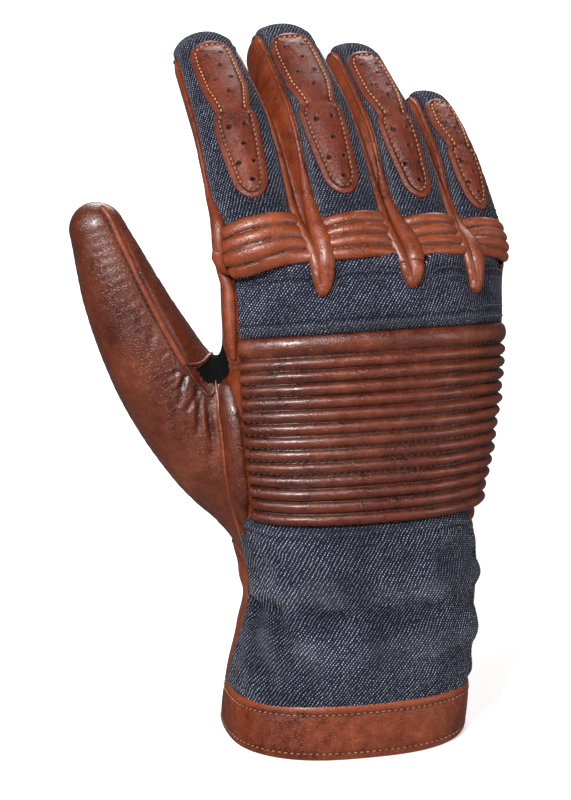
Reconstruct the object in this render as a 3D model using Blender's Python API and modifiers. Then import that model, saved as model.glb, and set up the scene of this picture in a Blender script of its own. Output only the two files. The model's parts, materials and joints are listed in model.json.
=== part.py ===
"""A right-hand motorcycle riding glove, standing on its cuff, with its fingers curled as cut.

Metres, +Z toward the fingers, -Y the back of the hand, +X the little-finger side.
All lengths below are millimetres and become metres in place().
The shell is built as it is sewn: separate panels of leather and denim, each a thin solid,
around one hollow for the hand and one for each digit.
"""
import bpy
import bmesh
import math
import numpy as np
from mathutils import Vector

MM = 0.001

# ---- driving dimensions -------------------------------------------------------------------
SHELL = 2.0             # thickness of leather with its lining, or denim with its lining
PAD_THICKNESS = 3.6     # ribbed leather over foam
PATCH_THICKNESS = 1.3
SEAM_GAP = 1.2          # space kept between two panels that are sewn together
SQUARENESS = 2.5        # superellipse exponent of the hand's sections

CUFF_BAND_TOP = 15.5
WRIST = 42.0            # height of the wrist's hinge
WRIST_SLOPE = math.tan(math.radians(10.5))
PAD_BOTTOM = 72.0
PAD_TOP = 131.0
THUMB_SEAM_TOP = 110.0
GUSSET_TOP = 122.0
SHELL_TOP = 146.0       # where the four finger stalls begin
STRIP_TOP = 146.8       # top of the denim between the ribbed pad and the knuckle bands
PALM_TOP = 144.5
ULNAR_PANEL_TOP = 84.0
PALM_PATCH_TOP = 120.0
LINING_INSET = 3.1
ELASTIC_INSET = 3.4

# turns round the hand at which its panels meet, in degrees from the middle of the back
ULNAR_SEAM = 86.0
PALM_ULNAR_SEAM = 126.0
PALM_THUMB_SEAM = 213.5
GUSSET_SEAM = 214.0
THUMB_ROOT_SEAM = 217.0
CUFF_RADIAL_SEAM = 281.0
RADIAL_SEAM = 290.0
PAD_RADIAL_EDGE = 291.5
FULL_TURN = 360.0

CENTRE_SHIFT = (12.07, -22.11)   # puts the middle of the object's box on the Z axis


class Station:
    """One cross-section of the hand: its centre, half sizes, lean and the arch of the knuckles."""

    def __init__(self, height, x, y, half_width, half_depth, lean, arch):
        self.row = np.array([height, x, y, half_width, half_depth, lean, arch], float)


HAND = [
    Station(0.0, 0.0, 0.0, 38.6, 32.0, 0.0, 0.0),
    Station(15.0, 0.0, 0.0, 38.6, 30.0, 0.0, 0.0),
    Station(42.0, 3.5, 0.0, 37.0, 26.5, 0.0, 0.0),
    Station(71.0, 4.0, 0.0, 39.7, 24.5, 2.0, 0.001),
    Station(97.0, 6.0, 2.0, 42.8, 22.0, 7.0, 0.002),
    Station(118.0, 8.0, 4.5, 44.5, 20.0, 12.0, 0.004),
    Station(138.0, 9.5, 8.0, 46.0, 18.5, 18.0, 0.006),
    Station(152.0, 10.0, 11.5, 46.0, 17.5, 22.0, 0.008),
]


class Finger:
    """One finger: its knuckle, how it rolls and heads, and its two straight lengths."""

    def __init__(self, name, knuckle, roll, heading, lengths, half_widths, half_depths, walls):
        self.name = name
        self.knuckle = np.array(knuckle, float)
        self.roll = math.radians(roll)
        self.heading = math.radians(heading)
        self.lengths = lengths
        self.half_widths = half_widths
        self.half_depths = half_depths
        self.walls = walls


FINGER_LEAN = math.radians(42.0)
FINGER_CURL = math.radians(17.0)
BAND_LEAN = math.radians(31.0)
FINGERS = [
    Finger("index", (-24.4, 11.0, 154.6), -12, -3, (42.0, 42.0), (12.6, 11.6, 10.2),
           (12.3, 11.3, 10.0), ("ulnar",)),
    Finger("middle", (2.3, 7.5, 154.4), 0, -4.5, (44.0, 44.0), (12.0, 11.5, 10.4),
           (12.3, 11.5, 10.2), ("radial", "ulnar")),
    Finger("ring", (26.4, 12.5, 151.4), 12, -4.5, (41.0, 40.0), (11.3, 11.0, 10.2),
           (11.8, 11.2, 10.0), ("radial", "ulnar")),
    Finger("little", (47.0, 24.5, 146.8), 25, 0, (31.0, 31.5), (10.8, 10.2, 9.2),
           (11.0, 10.3, 9.2), ("radial",)),
]

FOURCHETTE_RISES = (4.8, 4.8, 7.6)   # of each gusset's rolled end above its fingers' backs

THUMB_ROOT = np.array([-20.0, 14.0, 66.0])
THUMB_PIVOT = np.array([-36.0, 18.0, 87.0])
THUMB_KNUCKLE = np.array([-66.5, 27.0, 137.5])
THUMB_TIP = np.array([-72.8, 31.5, 159.0])
THUMB_ROOT_RADIUS = 18.5
THUMB_PIVOT_RADIUS = 16.0
THUMB_HALF_WIDTHS = (13.2, 12.2, 9.0)

# ---- materials ----------------------------------------------------------------------------
LEATHER = ("glove_leather", (0.28, 0.082, 0.028), 0.45, 0.0)
PAD_LEATHER = ("pad_leather", (0.12, 0.035, 0.018), 0.42, 0.0)
DENIM = ("navy_denim", (0.022, 0.027, 0.050), 0.85, 0.0)
KNIT = ("black_stretch_knit", (0.012, 0.012, 0.014), 0.9, 0.0)
LINING = ("lining_fabric", (0.05, 0.05, 0.055), 0.95, 0.0)


def clear_scene():
    for item in list(bpy.data.objects):
        bpy.data.objects.remove(item, do_unlink=True)


def collection(name):
    group = bpy.data.collections.new(name)
    bpy.context.scene.collection.children.link(group)
    return group


def material(spec):
    name, colour, roughness, metallic = spec
    found = bpy.data.materials.get(name)
    if found:
        return found
    made = bpy.data.materials.new(name)
    made.use_nodes = True
    shader = made.node_tree.nodes["Principled BSDF"]
    shader.inputs["Base Color"].default_value = (*colour, 1.0)
    shader.inputs["Roughness"].default_value = roughness
    shader.inputs["Metallic"].default_value = metallic
    return made


def place(point):
    """A point in millimetres from the cuff's centre, as metres from the object's origin."""
    return ((point[0] + CENTRE_SHIFT[0]) * MM, (point[1] + CENTRE_SHIFT[1]) * MM, point[2] * MM)


def unit(vector):
    return vector / np.linalg.norm(vector)


def panel(name, surface, columns, rows, spec, group, thickness=SHELL, pivot=None):
    """A grid laid on surface(across, along), both 0 to 1, thickened inward from it."""
    shape = bmesh.new()
    bmesh.ops.create_grid(shape, x_segments=columns, y_segments=rows, size=0.5)
    origin = np.array(place(pivot)) if pivot is not None else np.zeros(3)
    for vertex in shape.verts:
        here = place(surface(vertex.co.x + 0.5, vertex.co.y + 0.5))
        vertex.co = np.array(here) - origin
    mesh = bpy.data.meshes.new(name)
    shape.to_mesh(mesh)
    shape.free()
    item = bpy.data.objects.new(name, mesh)
    item.location = origin
    group.objects.link(item)
    mesh.materials.append(material(spec))
    mesh.shade_smooth()
    mesh.set_sharp_from_angle(angle=math.radians(40))
    thicken = item.modifiers.new("thickness", "SOLIDIFY")
    thicken.thickness = thickness * MM
    thicken.offset = -1.0
    thicken.use_even_offset = False
    return item


# ---- the hand's shell -----------------------------------------------------------------------
def station(height):
    rows = np.array([item.row for item in HAND])
    return [np.interp(height, rows[:, 0], rows[:, column]) for column in range(1, 7)]


def signed_power(value, power):
    return math.copysign(abs(value) ** power, value)


def thumb_mound(centre, direction, reach):
    """How far a ray runs before it leaves the ball of the thumb, or reach if it misses it."""
    farthest = reach
    for share in np.linspace(0.0, 1.0, 6):
        ball = THUMB_ROOT + (THUMB_PIVOT - THUMB_ROOT) * share
        radius = THUMB_ROOT_RADIUS + (THUMB_PIVOT_RADIUS - THUMB_ROOT_RADIUS) * share
        along = float(np.dot(ball - centre, direction))
        miss = float(np.dot(ball - centre, ball - centre)) - along * along
        if miss < radius * radius:
            farthest = max(farthest, along + math.sqrt(radius * radius - miss))
    return farthest


def hand_point(turn, height, proud=0.0):
    """The shell at a turn in degrees (0 the back, 90 the little-finger side) and a height."""
    x, y, half_width, half_depth, lean, arch = station(height)
    lean = math.radians(lean)
    across = half_width * signed_power(math.sin(math.radians(turn)), 2 / SQUARENESS)
    depth = -half_depth * signed_power(math.cos(math.radians(turn)), 2 / SQUARENESS)
    depth += arch * across * across * (1.0 if across > 0 else 0.4)
    centre = np.array([x, y, height])
    ray = np.array([across, depth * math.cos(lean), -depth * math.sin(lean)])
    reach = np.linalg.norm(ray)
    ray = ray / reach
    return centre + ray * (thumb_mound(centre, ray, reach) + proud)


def wrist_edge(turn, side):
    """Height of a panel's edge at the wrist: a wedge that opens toward the back and the palm."""
    depth = 26.5 * abs(math.cos(math.radians(turn))) ** (2 / SQUARENESS)
    return WRIST + side * (0.6 + WRIST_SLOPE * depth)


def hand_panel(name, turns, heights, spec, group, grid, **options):
    """A panel of the hand between two turns and two heights, each a number or a function."""
    proud = options.pop("proud", 0.0)
    inset = math.degrees(SEAM_GAP / 2 / 38.0)

    def value(bound, other):
        return bound(other) if callable(bound) else bound

    def surface(across, along):
        middle = (value(heights[0], 180.0) + value(heights[1], 180.0)) / 2
        low = value(turns[0], middle) + inset
        high = value(turns[1], middle) - inset
        turn = low + (high - low) * across
        bottom = value(heights[0], turn)
        top = value(heights[1], turn)
        height = bottom + (top - bottom) * along
        low = value(turns[0], height) + inset
        high = value(turns[1], height) - inset
        return hand_point(low + (high - low) * across, height, proud)

    return panel(name, surface, grid[0], grid[1], spec, group, **options)


def strip_edge(height):
    """Turn at which the thumb's panels meet the strip along the index side."""
    return float(np.interp(height, (47, 72, 150), (282, 281, 268)))


def make_hand(group):
    half = SEAM_GAP / 2
    ulnar = FULL_TURN + ULNAR_SEAM
    hand_panel("wrist_denim_panel", (strip_edge, ulnar),
               (lambda turn: wrist_edge(turn, 1), PAD_BOTTOM - half), DENIM, group, (20, 3))
    hand_panel("ribbed_back_pad", (PAD_RADIAL_EDGE, ulnar), (PAD_BOTTOM + half, PAD_TOP - half),
               PAD_LEATHER, group, (20, 7), thickness=PAD_THICKNESS, proud=1.0)
    hand_panel("back_denim_strip", (RADIAL_SEAM, ulnar), (PAD_TOP + half, STRIP_TOP), DENIM,
               group, (20, 2))
    hand_panel("radial_side_strip", (strip_edge, RADIAL_SEAM), (PAD_BOTTOM + half, SHELL_TOP), LEATHER,
               group, (2, 9))
    hand_panel("ulnar_ribbed_panel", (ULNAR_SEAM, PALM_ULNAR_SEAM),
               (lambda turn: wrist_edge(turn, 1), ULNAR_PANEL_TOP - half), PAD_LEATHER, group,
               (5, 5), thickness=SHELL + 0.6)
    hand_panel("ulnar_side_strip", (ULNAR_SEAM, PALM_ULNAR_SEAM), (ULNAR_PANEL_TOP + half, SHELL_TOP),
               LEATHER, group, (5, 8))
    hand_panel("palm_panel", (PALM_ULNAR_SEAM, PALM_THUMB_SEAM),
               (lambda turn: wrist_edge(turn, 1), PALM_TOP), LEATHER, group, (9, 12))
    hand_panel("palm_patch", (142, 188), (PAD_BOTTOM, PALM_PATCH_TOP), LEATHER, group, (7, 7),
               thickness=PATCH_THICKNESS, proud=PATCH_THICKNESS + 1.75)
    root = hand_panel("thumb_root_panel", (THUMB_ROOT_SEAM, strip_edge),
                      (lambda turn: wrist_edge(turn, 1), THUMB_SEAM_TOP - half), LEATHER, group,
                      (8, 10))
    hand_panel("thumb_gusset", (GUSSET_SEAM, strip_edge), (THUMB_SEAM_TOP + half, GUSSET_TOP - half),
               KNIT, group, (5, 2))
    hand_panel("index_side_panel", (GUSSET_SEAM, strip_edge), (GUSSET_TOP + half, SHELL_TOP), LEATHER,
               group, (5, 3))
    return root


def make_cuff(group):
    half = SEAM_GAP / 2
    bottom = CUFF_BAND_TOP + half

    def top(turn):
        return wrist_edge(turn, -1)

    hand_panel("cuff_denim_panel", (CUFF_RADIAL_SEAM, FULL_TURN + ULNAR_SEAM), (bottom, top), DENIM,
               group, (14, 2))
    hand_panel("cuff_palm_leather", (ULNAR_SEAM, CUFF_RADIAL_SEAM), (bottom, top), LEATHER, group,
               (14, 2))

    def ring(name, heights, inset, thickness, spec):
        """A closed ring through the given heights, swept once round."""
        shape = bmesh.new()
        steps = 28
        section = [(height, inset) for height in heights]
        section += [(height, inset + thickness) for height in reversed(heights)]
        loops = []
        for turn in np.arange(steps) * (360.0 / steps):
            loops.append([shape.verts.new(place(hand_point(turn, height, -depth)))
                          for height, depth in section])
        for here, ahead in zip(loops, loops[1:] + loops[:1]):
            for corner in range(len(here)):
                after = (corner + 1) % len(here)
                shape.faces.new((here[corner], here[after], ahead[after], ahead[corner]))
        bmesh.ops.recalc_face_normals(shape, faces=shape.faces)
        mesh = bpy.data.meshes.new(name)
        shape.to_mesh(mesh)
        shape.free()
        mesh.materials.append(material(spec))
        mesh.shade_smooth()
        mesh.set_sharp_from_angle(angle=math.radians(40))
        item = bpy.data.objects.new(name, mesh)
        group.objects.link(item)

    ring("cuff_band", (0, 15, CUFF_BAND_TOP), 0.0, SHELL + 0.6, LEATHER)
    ring("cuff_lining", (3, 15, WRIST - 6), LINING_INSET, 0.8, LINING)
    ring("wrist_elastic", (WRIST - 4.5, WRIST, WRIST + 3.5), ELASTIC_INSET, 1.0, KNIT)


def make_strap(group):
    """The closure strap on the palm side, with its hook pad, hinged where it is sewn on."""
    def strap(proud):
        def surface(across, along):
            return hand_point(204 - 62 * along, 22.5 + 14 * across, proud)
        return surface

    pivot = hand_point(204, 29.5, 1.5)
    item = panel("closure_strap", strap(0.5 + 0.9 + 0.35 + 1.5), 2, 8, LEATHER, group,
                 thickness=1.5, pivot=pivot)

    def hook(across, along):
        return hand_point(168 - 22 * along, 24.0 + 11 * across, 0.5 + 0.9)

    panel("strap_hook_pad", hook, 2, 3, KNIT, group, thickness=0.9, pivot=pivot)
    return item


# ---- fingers --------------------------------------------------------------------------------
def finger_frame(finger, lean):
    """Direction of a finger, its width direction and the direction to the back of the hand."""
    axis = np.array([math.sin(finger.heading),
                     math.sin(lean) * math.cos(finger.heading),
                     math.cos(lean) * math.cos(finger.heading)])
    wide = np.array([math.cos(finger.roll), math.sin(finger.roll), 0.0])
    wide = unit(wide - axis * np.dot(wide, axis))
    back = np.cross(wide, axis)
    if back[1] > 0:
        back = -back
    return axis, wide, back


def hinge_back(axis):
    """Direction to the back, square to a hinge along X."""
    return unit(np.cross(np.array([1.0, 0.0, 0.0]), axis))


def tube_point(origin, frame, along, turn, half_width, half_depth, proud):
    axis, wide, back = frame
    angle = math.radians(turn)
    across = (half_width + proud) * signed_power(math.sin(angle), 0.92)
    depth = (half_depth + proud) * signed_power(math.cos(angle), 0.92)
    return origin + axis * along + wide * across + back * depth


def finger_panel(name, finger, part, turns, spec, group, grid, **options):
    """A panel of one finger. part is 0 for the stall's lower length and 1 for the upper."""
    proud = options.pop("proud", 0.0)
    cap = options.pop("cap", 0.0)
    spans = options.pop("spans", None)
    lower = finger_frame(finger, FINGER_LEAN)
    knee = finger.knuckle + lower[0] * finger.lengths[0]
    frame = lower if part == 0 else finger_frame(finger, FINGER_LEAN + FINGER_CURL)
    origin = finger.knuckle if part == 0 else knee
    widths = finger.half_widths[part:part + 2]
    depths = finger.half_depths[part:part + 2]
    length = finger.lengths[part] - (depths[1] if part == 1 else 0.0)
    back = hinge_back(frame[0])

    def size(along):
        share = min(max(along / length, 0.0), 1.0)
        return widths[0] + (widths[1] - widths[0]) * share, depths[0] + (depths[1] - depths[0]) * share

    def knee_cut(depth):
        """Half of the wedge at the middle joint, at a distance toward the back (+) or palm (-)."""
        slope = math.tan(math.radians(8.0)) if depth > 0 else math.tan(math.radians(35.5))
        return 0.9 + slope * abs(depth)

    def ends(turn):
        half_width, half_depth = size(0.0 if part else length)
        offset = tube_point(np.zeros(3), frame, 0.0, turn, half_width, half_depth, proud)
        depth = float(np.dot(offset, back))
        if part == 0:
            start = 9.0 if depth > 0 else 9.0 + 4.6 * abs(depth) / half_depth
            return start, length - knee_cut(depth)
        return knee_cut(depth), length

    def surface(across, along):
        bounds = turns(along) if callable(turns) else turns
        turn = bounds[0] + (bounds[1] - bounds[0]) * across
        start, stop = ends(turn)
        if spans:
            start, stop = max(start, spans[0]), min(stop, spans[1])
        if cap and along > 0.6:
            turned = math.radians(cap) * (along - 0.6) / 0.4
            half_width, half_depth = size(stop)
            palmward = abs(((bounds[0] + bounds[1]) / 2) % 360 - 180) < 90
            sense = -1.0 if palmward else 1.0
            axis, wide, up = frame
            swung = (axis * math.cos(turned) - sense * up * math.sin(turned), wide,
                     up * math.cos(turned) + sense * axis * math.sin(turned))
            return tube_point(origin + axis * stop, swung, 0.0, turn, half_width, half_depth, proud)
        share = along / 0.6 if cap else along
        here = start + (stop - start) * share
        half_width, half_depth = size(here)
        return tube_point(origin, frame, here, turn, half_width, half_depth, proud)

    pivot = origin
    return panel(name, surface, grid[0], grid[1], spec, group, pivot=pivot, **options)


def make_finger(finger, group):
    name = finger.name
    gap = math.degrees(SEAM_GAP / 2 / 10.0)
    seam = 58.0
    front_left = 180 + seam + gap if "radial" in finger.walls else 360 - seam - gap
    front_right = 180 - seam - gap if "ulnar" in finger.walls else seam + gap
    finger_panel(name + "_back_lower", finger, 0, (-seam, seam), DENIM, group, (6, 3))
    front_low = 180 - seam + gap if "ulnar" in finger.walls else seam + 2 * gap
    front_high = 180 + seam - gap if "radial" in finger.walls else 360 - seam - 2 * gap
    finger_panel(name + "_front_lower", finger, 0, (front_low, front_high), LEATHER, group, (7, 3))
    if "ulnar" in finger.walls:
        finger_panel(name + "_ulnar_wall", finger, 0, (seam + 2 * gap, front_right), LEATHER,
                     group, (3, 3))
    if "radial" in finger.walls:
        finger_panel(name + "_radial_wall", finger, 0, (front_left, 360 - seam - 2 * gap),
                     LEATHER, group, (3, 3))

    def back_turns(along):
        spread = float(np.interp(along, (0.0, 0.6, 1.0), (60.0, 76.0, 68.0)))
        return -spread, spread

    def front_turns(along):
        spread = float(np.interp(along, (0.0, 0.6, 1.0), (113.0, 94.0, 62.0)))
        return 180 - spread, 180 + spread

    finger_panel(name + "_back_upper", finger, 1, back_turns, DENIM, group, (6, 7), cap=92.0)
    finger_panel(name + "_front_upper", finger, 1, front_turns, LEATHER, group, (9, 6), cap=66.0)

    def patch_turns(along):
        spread = 34.0 - 8.0 * math.cos(math.radians(180 * along)) ** 2
        return -spread, spread

    lower, upper = finger.lengths
    finger_panel(name + "_patch_lower", finger, 0, patch_turns, PAD_LEATHER, group, (4, 3),
                 spans=(13.0, lower - 2.6), proud=PATCH_THICKNESS + 0.35,
                 thickness=PATCH_THICKNESS)
    finger_panel(name + "_patch_upper", finger, 1, patch_turns, PAD_LEATHER, group, (4, 3),
                 spans=(2.6, upper - 13.0), proud=PATCH_THICKNESS + 0.35,
                 thickness=PATCH_THICKNESS)


def make_knuckle_band(finger, group):
    """The four-ribbed stretch panel over one knuckle. It stays with the hand."""
    frame = finger_frame(finger, BAND_LEAN)

    def surface(across, along):
        turn = -46 + 92 * across
        return tube_point(finger.knuckle, frame, -6.6 + 11.6 * along, turn,
                          finger.half_widths[0] + 0.4, finger.half_depths[0] + 0.6, 0.0)

    panel(finger.name + "_knuckle_band", surface, 6, 3, PAD_LEATHER, group)


def make_fourchette_end(left, right, rise, group):
    """The rolled end of the leather gusset between two fingers, lying on the hand."""
    frame_left = finger_frame(left, BAND_LEAN)
    frame_right = finger_frame(right, BAND_LEAN)
    middle = (left.knuckle + right.knuckle) / 2
    axis = unit(frame_left[0] + frame_right[0])
    back = unit(frame_left[2] + frame_right[2])
    wide = unit(np.cross(axis, back))
    if wide[0] < 0:
        wide = -wide
    height = min(left.half_depths[0], right.half_depths[0]) + rise

    def surface(across, along):
        reach = -12.0 + 16.0 * along
        half = 2.6 - 1.2 * along
        angle = math.radians(-80 + 160 * across)
        return middle + axis * reach + wide * half * math.sin(angle) + back * (
            height - 2.6 + 2.6 * math.cos(angle))

    panel("fourchette_" + left.name + "_" + right.name, surface, 4, 3, LEATHER, group,
          thickness=1.2)


# ---- thumb ----------------------------------------------------------------------------------
def thumb_frame(start, end):
    axis = unit(end - start)
    back = unit(np.array([-0.55, -0.83, 0.0]) - axis * np.dot(np.array([-0.55, -0.83, 0.0]), axis))
    wide = unit(np.cross(axis, back))
    return axis, wide, back


def thumb_panel(name, part, turns, group, grid, cap=0.0):
    start = (THUMB_PIVOT, THUMB_KNUCKLE)[part]
    end = (THUMB_KNUCKLE, THUMB_TIP)[part]
    frame = thumb_frame(start, end)
    length = float(np.linalg.norm(end - start))
    widths = THUMB_HALF_WIDTHS[part:part + 2]
    begin = 17.6 if part == 0 else 0.0

    def cut(depth):
        slope = math.tan(math.radians(5.5)) if depth > 0 else math.tan(math.radians(24.0))
        return 1.2 + slope * abs(depth)

    def surface(across, along):
        turn = turns[0] + (turns[1] - turns[0]) * across
        joint_width = THUMB_HALF_WIDTHS[1]
        depth = joint_width * math.cos(math.radians(turn))
        first = begin if part == 0 else cut(depth)
        last = length - cut(depth) if part == 0 else length
        if cap and along > 0.6:
            turned = math.radians(cap) * (along - 0.6) / 0.4
            sense = -1.0 if abs((turns[0] + turns[1]) / 2 - 180) < 90 else 1.0
            axis, wide, up = frame
            swung = (axis, wide, up * math.cos(turned) + sense * axis * math.sin(turned))
            return tube_point(end, swung, 0.0, turn, widths[1], widths[1], 0.0)
        share = along / 0.6 if cap else along
        here = first + (last - first) * share
        size = widths[0] + (widths[1] - widths[0]) * min(max((here - begin) / (length - begin), 0), 1)
        return tube_point(start, frame, here, turn, size, size, 0.0)

    panel(name, surface, grid[0], grid[1], LEATHER, group, pivot=start)


def make_thumb(group):
    gap = math.degrees(SEAM_GAP / 2 / 11.0)
    thumb_panel("thumb_back_lower", 0, (-90 + gap, 90 - gap), group, (8, 3))
    thumb_panel("thumb_front_lower", 0, (90 + gap, 270 - gap), group, (8, 3))
    thumb_panel("thumb_back_upper", 1, (-83, 83), group, (8, 7), cap=90.0 - 2.6 * gap)
    thumb_panel("thumb_front_upper", 1, (97, 263), group, (8, 7), cap=90.0 - 2.6 * gap)


def make_thumb_opening(root, cutters):
    """Cuts the way into the thumb through the ball of the thumb."""
    axis = unit(THUMB_KNUCKLE - THUMB_PIVOT)
    depth = 30.0
    shape = bmesh.new()
    bmesh.ops.create_cone(shape, cap_ends=True, segments=16, radius1=11.0 * MM,
                          radius2=11.0 * MM, depth=depth * MM)
    mesh = bpy.data.meshes.new("thumb_opening_cutter")
    shape.to_mesh(mesh)
    shape.free()
    cutter = bpy.data.objects.new("thumb_opening_cutter", mesh)
    cutters.objects.link(cutter)
    cutter.location = place(THUMB_PIVOT + axis * (depth / 2 + 1.0))
    cutter.rotation_mode = "QUATERNION"
    cutter.rotation_quaternion = Vector(axis).to_track_quat("Z", "Y")
    cutter.hide_render = True
    cutter.display_type = "WIRE"
    cut = root.modifiers.new("thumb_opening", "BOOLEAN")
    cut.operation = "DIFFERENCE"
    cut.solver = "EXACT"
    cut.object = cutter


def main():
    clear_scene()
    group = collection("riding_glove")
    cutters = collection("cutters")
    root = make_hand(group)
    make_thumb_opening(root, cutters)
    make_cuff(group)
    make_strap(group)
    make_thumb(group)
    for finger in FINGERS:
        make_knuckle_band(finger, group)
        make_finger(finger, group)
    for left, right, rise in zip(FINGERS, FINGERS[1:], FOURCHETTE_RISES):
        make_fourchette_end(left, right, rise, group)


main()
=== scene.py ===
"""The looks of a right-hand riding glove: denim back, leather palm and thumb, ribbed pads, sewn patches.

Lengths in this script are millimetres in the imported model's own frame (+Z to the fingers, -Y the back
of the hand, +X the little finger); make_object() turns them into metres.
"""
import json
import math

import bmesh
import bpy
import numpy as np
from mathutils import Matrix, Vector


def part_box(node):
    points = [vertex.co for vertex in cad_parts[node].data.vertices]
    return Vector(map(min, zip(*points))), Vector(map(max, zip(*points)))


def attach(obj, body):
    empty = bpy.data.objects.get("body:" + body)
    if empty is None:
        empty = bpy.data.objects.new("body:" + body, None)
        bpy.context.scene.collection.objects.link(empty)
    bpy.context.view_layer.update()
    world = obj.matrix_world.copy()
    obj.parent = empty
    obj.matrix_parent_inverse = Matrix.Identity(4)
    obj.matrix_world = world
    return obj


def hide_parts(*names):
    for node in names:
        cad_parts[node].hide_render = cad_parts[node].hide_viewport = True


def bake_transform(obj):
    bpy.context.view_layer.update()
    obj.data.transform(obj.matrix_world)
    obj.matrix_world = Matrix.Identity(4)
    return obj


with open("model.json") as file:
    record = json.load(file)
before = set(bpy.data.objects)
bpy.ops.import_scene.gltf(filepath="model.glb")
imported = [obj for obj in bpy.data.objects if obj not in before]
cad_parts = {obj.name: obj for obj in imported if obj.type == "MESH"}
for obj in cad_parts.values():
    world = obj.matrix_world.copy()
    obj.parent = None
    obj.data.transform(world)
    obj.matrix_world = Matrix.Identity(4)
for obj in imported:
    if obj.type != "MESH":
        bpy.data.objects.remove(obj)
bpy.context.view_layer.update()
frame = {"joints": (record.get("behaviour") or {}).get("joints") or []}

MM = 0.001

# ---- the glove's form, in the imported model's frame --------------------------------------------------
BAND_BOX = np.array(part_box("cuff_band")) / MM
CUFF_CENTRE = BAND_BOX.mean(axis=0)[:2]
SQUARENESS = 2.5        # exponent of the hand's section: 2 is an ellipse, more is squarer
RADIAL_ARCH = 0.4       # the knuckles' arch on the index side, as a share of that on the little one's

# height, centre x, centre y, half width, half depth, lean in degrees, knuckle arch
STATIONS = np.array([
    (-10.0, -1.4, 0.0, 37.2, 32.4, 0.0, 0.0),
    (0.0, -1.0, 0.0, 37.2, 31.6, 0.0, 0.0),
    (15.0, 0.5, 0.0, 37.2, 30.0, 0.0, 0.0),
    (42.0, 4.4, 0.0, 35.9, 26.5, 0.0, 0.0),
    (71.0, 3.9, 0.0, 37.7, 24.5, 2.0, 0.001),
    (97.0, 6.0, 2.0, 42.2, 22.0, 7.0, 0.002),
    (118.0, 8.0, 4.5, 44.5, 20.0, 12.0, 0.004),
    (138.0, 9.5, 8.0, 46.0, 18.5, 18.0, 0.006),
    (152.0, 10.0, 11.5, 46.0, 17.5, 22.0, 0.008),
    (166.0, 10.4, 16.5, 46.0, 16.5, 26.0, 0.008),
])


def spline(x, xs, ys):
    """A smooth curve through points, by Hermite pieces with averaged slopes."""
    x = np.asarray(x, float)
    slopes = np.gradient(ys, xs)
    i = np.clip(np.searchsorted(xs, x) - 1, 0, len(xs) - 2)
    h = xs[i + 1] - xs[i]
    t = np.clip((x - xs[i]) / h, 0, 1)
    t2, t3 = t * t, t * t * t
    return ((2 * t3 - 3 * t2 + 1) * ys[i] + (t3 - 2 * t2 + t) * h * slopes[i]
            + (3 * t2 - 2 * t3) * ys[i + 1] + (t3 - t2) * h * slopes[i + 1])


def smoothstep(x, low=0.0, high=1.0):
    """0 below low, 1 above high, and a smooth rise between them."""
    t = np.clip((np.asarray(x, float) - low) / (high - low), 0, 1)
    return t * t * (3 - 2 * t)


def bump(x, centre, half_width):
    """A smooth hump of height 1."""
    return np.exp(-((x - centre) / half_width) ** 2)


def power(value, exponent):
    """A power that keeps its value's sign."""
    return np.sign(value) * np.abs(value) ** exponent


def unit(v):
    v = np.asarray(v, float)
    return v / np.linalg.norm(v, axis=-1, keepdims=True)


def lengths(path):
    """How far along a broken line each of its points is."""
    return np.concatenate([[0], np.cumsum(np.linalg.norm(np.diff(path, axis=0), axis=1))])


def points_at(stops, length, path):
    """Points at the given lengths along a path."""
    return np.stack([np.interp(stops, length, path[:, k]) for k in range(3)], -1)


def station(height):
    """The hand's section at a height: centre x and y, half width and depth, lean and arch."""
    return [spline(height, STATIONS[:, 0], STATIONS[:, column]) for column in range(1, 7)]


# ---- the thumb ----------------------------------------------------------------------------------
JOINTS = {joint["name"]: joint for joint in frame["joints"]}


def joint_place(name):
    return np.array(JOINTS[name]["pos_m"]) / MM


THUMB_BASE = joint_place("thumb_base")
THUMB_JOINT = joint_place("thumb_joint")
THUMB_ROOT = THUMB_BASE + np.array([24.5, -4.5, -23.5])
THUMB_TIP = THUMB_JOINT + np.array([-5.6, 4.5, 21.6])
THUMB_PATH = np.array([THUMB_ROOT, THUMB_BASE, THUMB_BASE + 0.45 * (THUMB_JOINT - THUMB_BASE)
                       + np.array([-1.0, 0.0, -1.0]), THUMB_JOINT + np.array([1.8, 0.0, 0.0]), THUMB_TIP])
THUMB_STOPS = lengths(THUMB_PATH)
THUMB_RADII = np.array([14.6, 16.3, 15.9, 12.6, 8.8])
THUMB_LENGTH = THUMB_STOPS[-1]


def thumb_centre(s):
    return np.stack([spline(s, THUMB_STOPS, THUMB_PATH[:, k]) for k in range(3)], -1)


def thumb_radius(s):
    return spline(s, THUMB_STOPS, THUMB_RADII)


def thumb_frames(s):
    ahead = thumb_centre(np.minimum(s + 1.0, THUMB_LENGTH))
    axis = unit(ahead - thumb_centre(np.minimum(s, THUMB_LENGTH - 1) - 1.0))
    toward = np.array([-0.55, -0.83, 0.0])
    back = unit(toward - axis * (axis @ toward)[..., None])
    wide = np.cross(axis, back)
    return axis, wide, back


def thumb_point(s, turn, proud=0.0):
    """The thumb's skin. Past the last centre it closes in a dome."""
    s, turn = np.broadcast_arrays(np.asarray(s, float), np.asarray(turn, float))
    end = np.minimum(s, THUMB_LENGTH)
    over = np.clip((s - THUMB_LENGTH) / 9.2, 0, 1) * math.pi / 2
    axis, wide, back = thumb_frames(end)
    radius = thumb_radius(end) + proud
    angle = np.radians(turn)
    flat = 1.0 - 0.06 * np.cos(angle) ** 2
    ring = (wide * (np.sin(angle))[..., None] + back * (np.cos(angle) * flat)[..., None])
    ring = ring * (radius * np.cos(over))[..., None]
    return thumb_centre(end) + ring + axis * ((radius * 0.96) * np.sin(over))[..., None]


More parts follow.
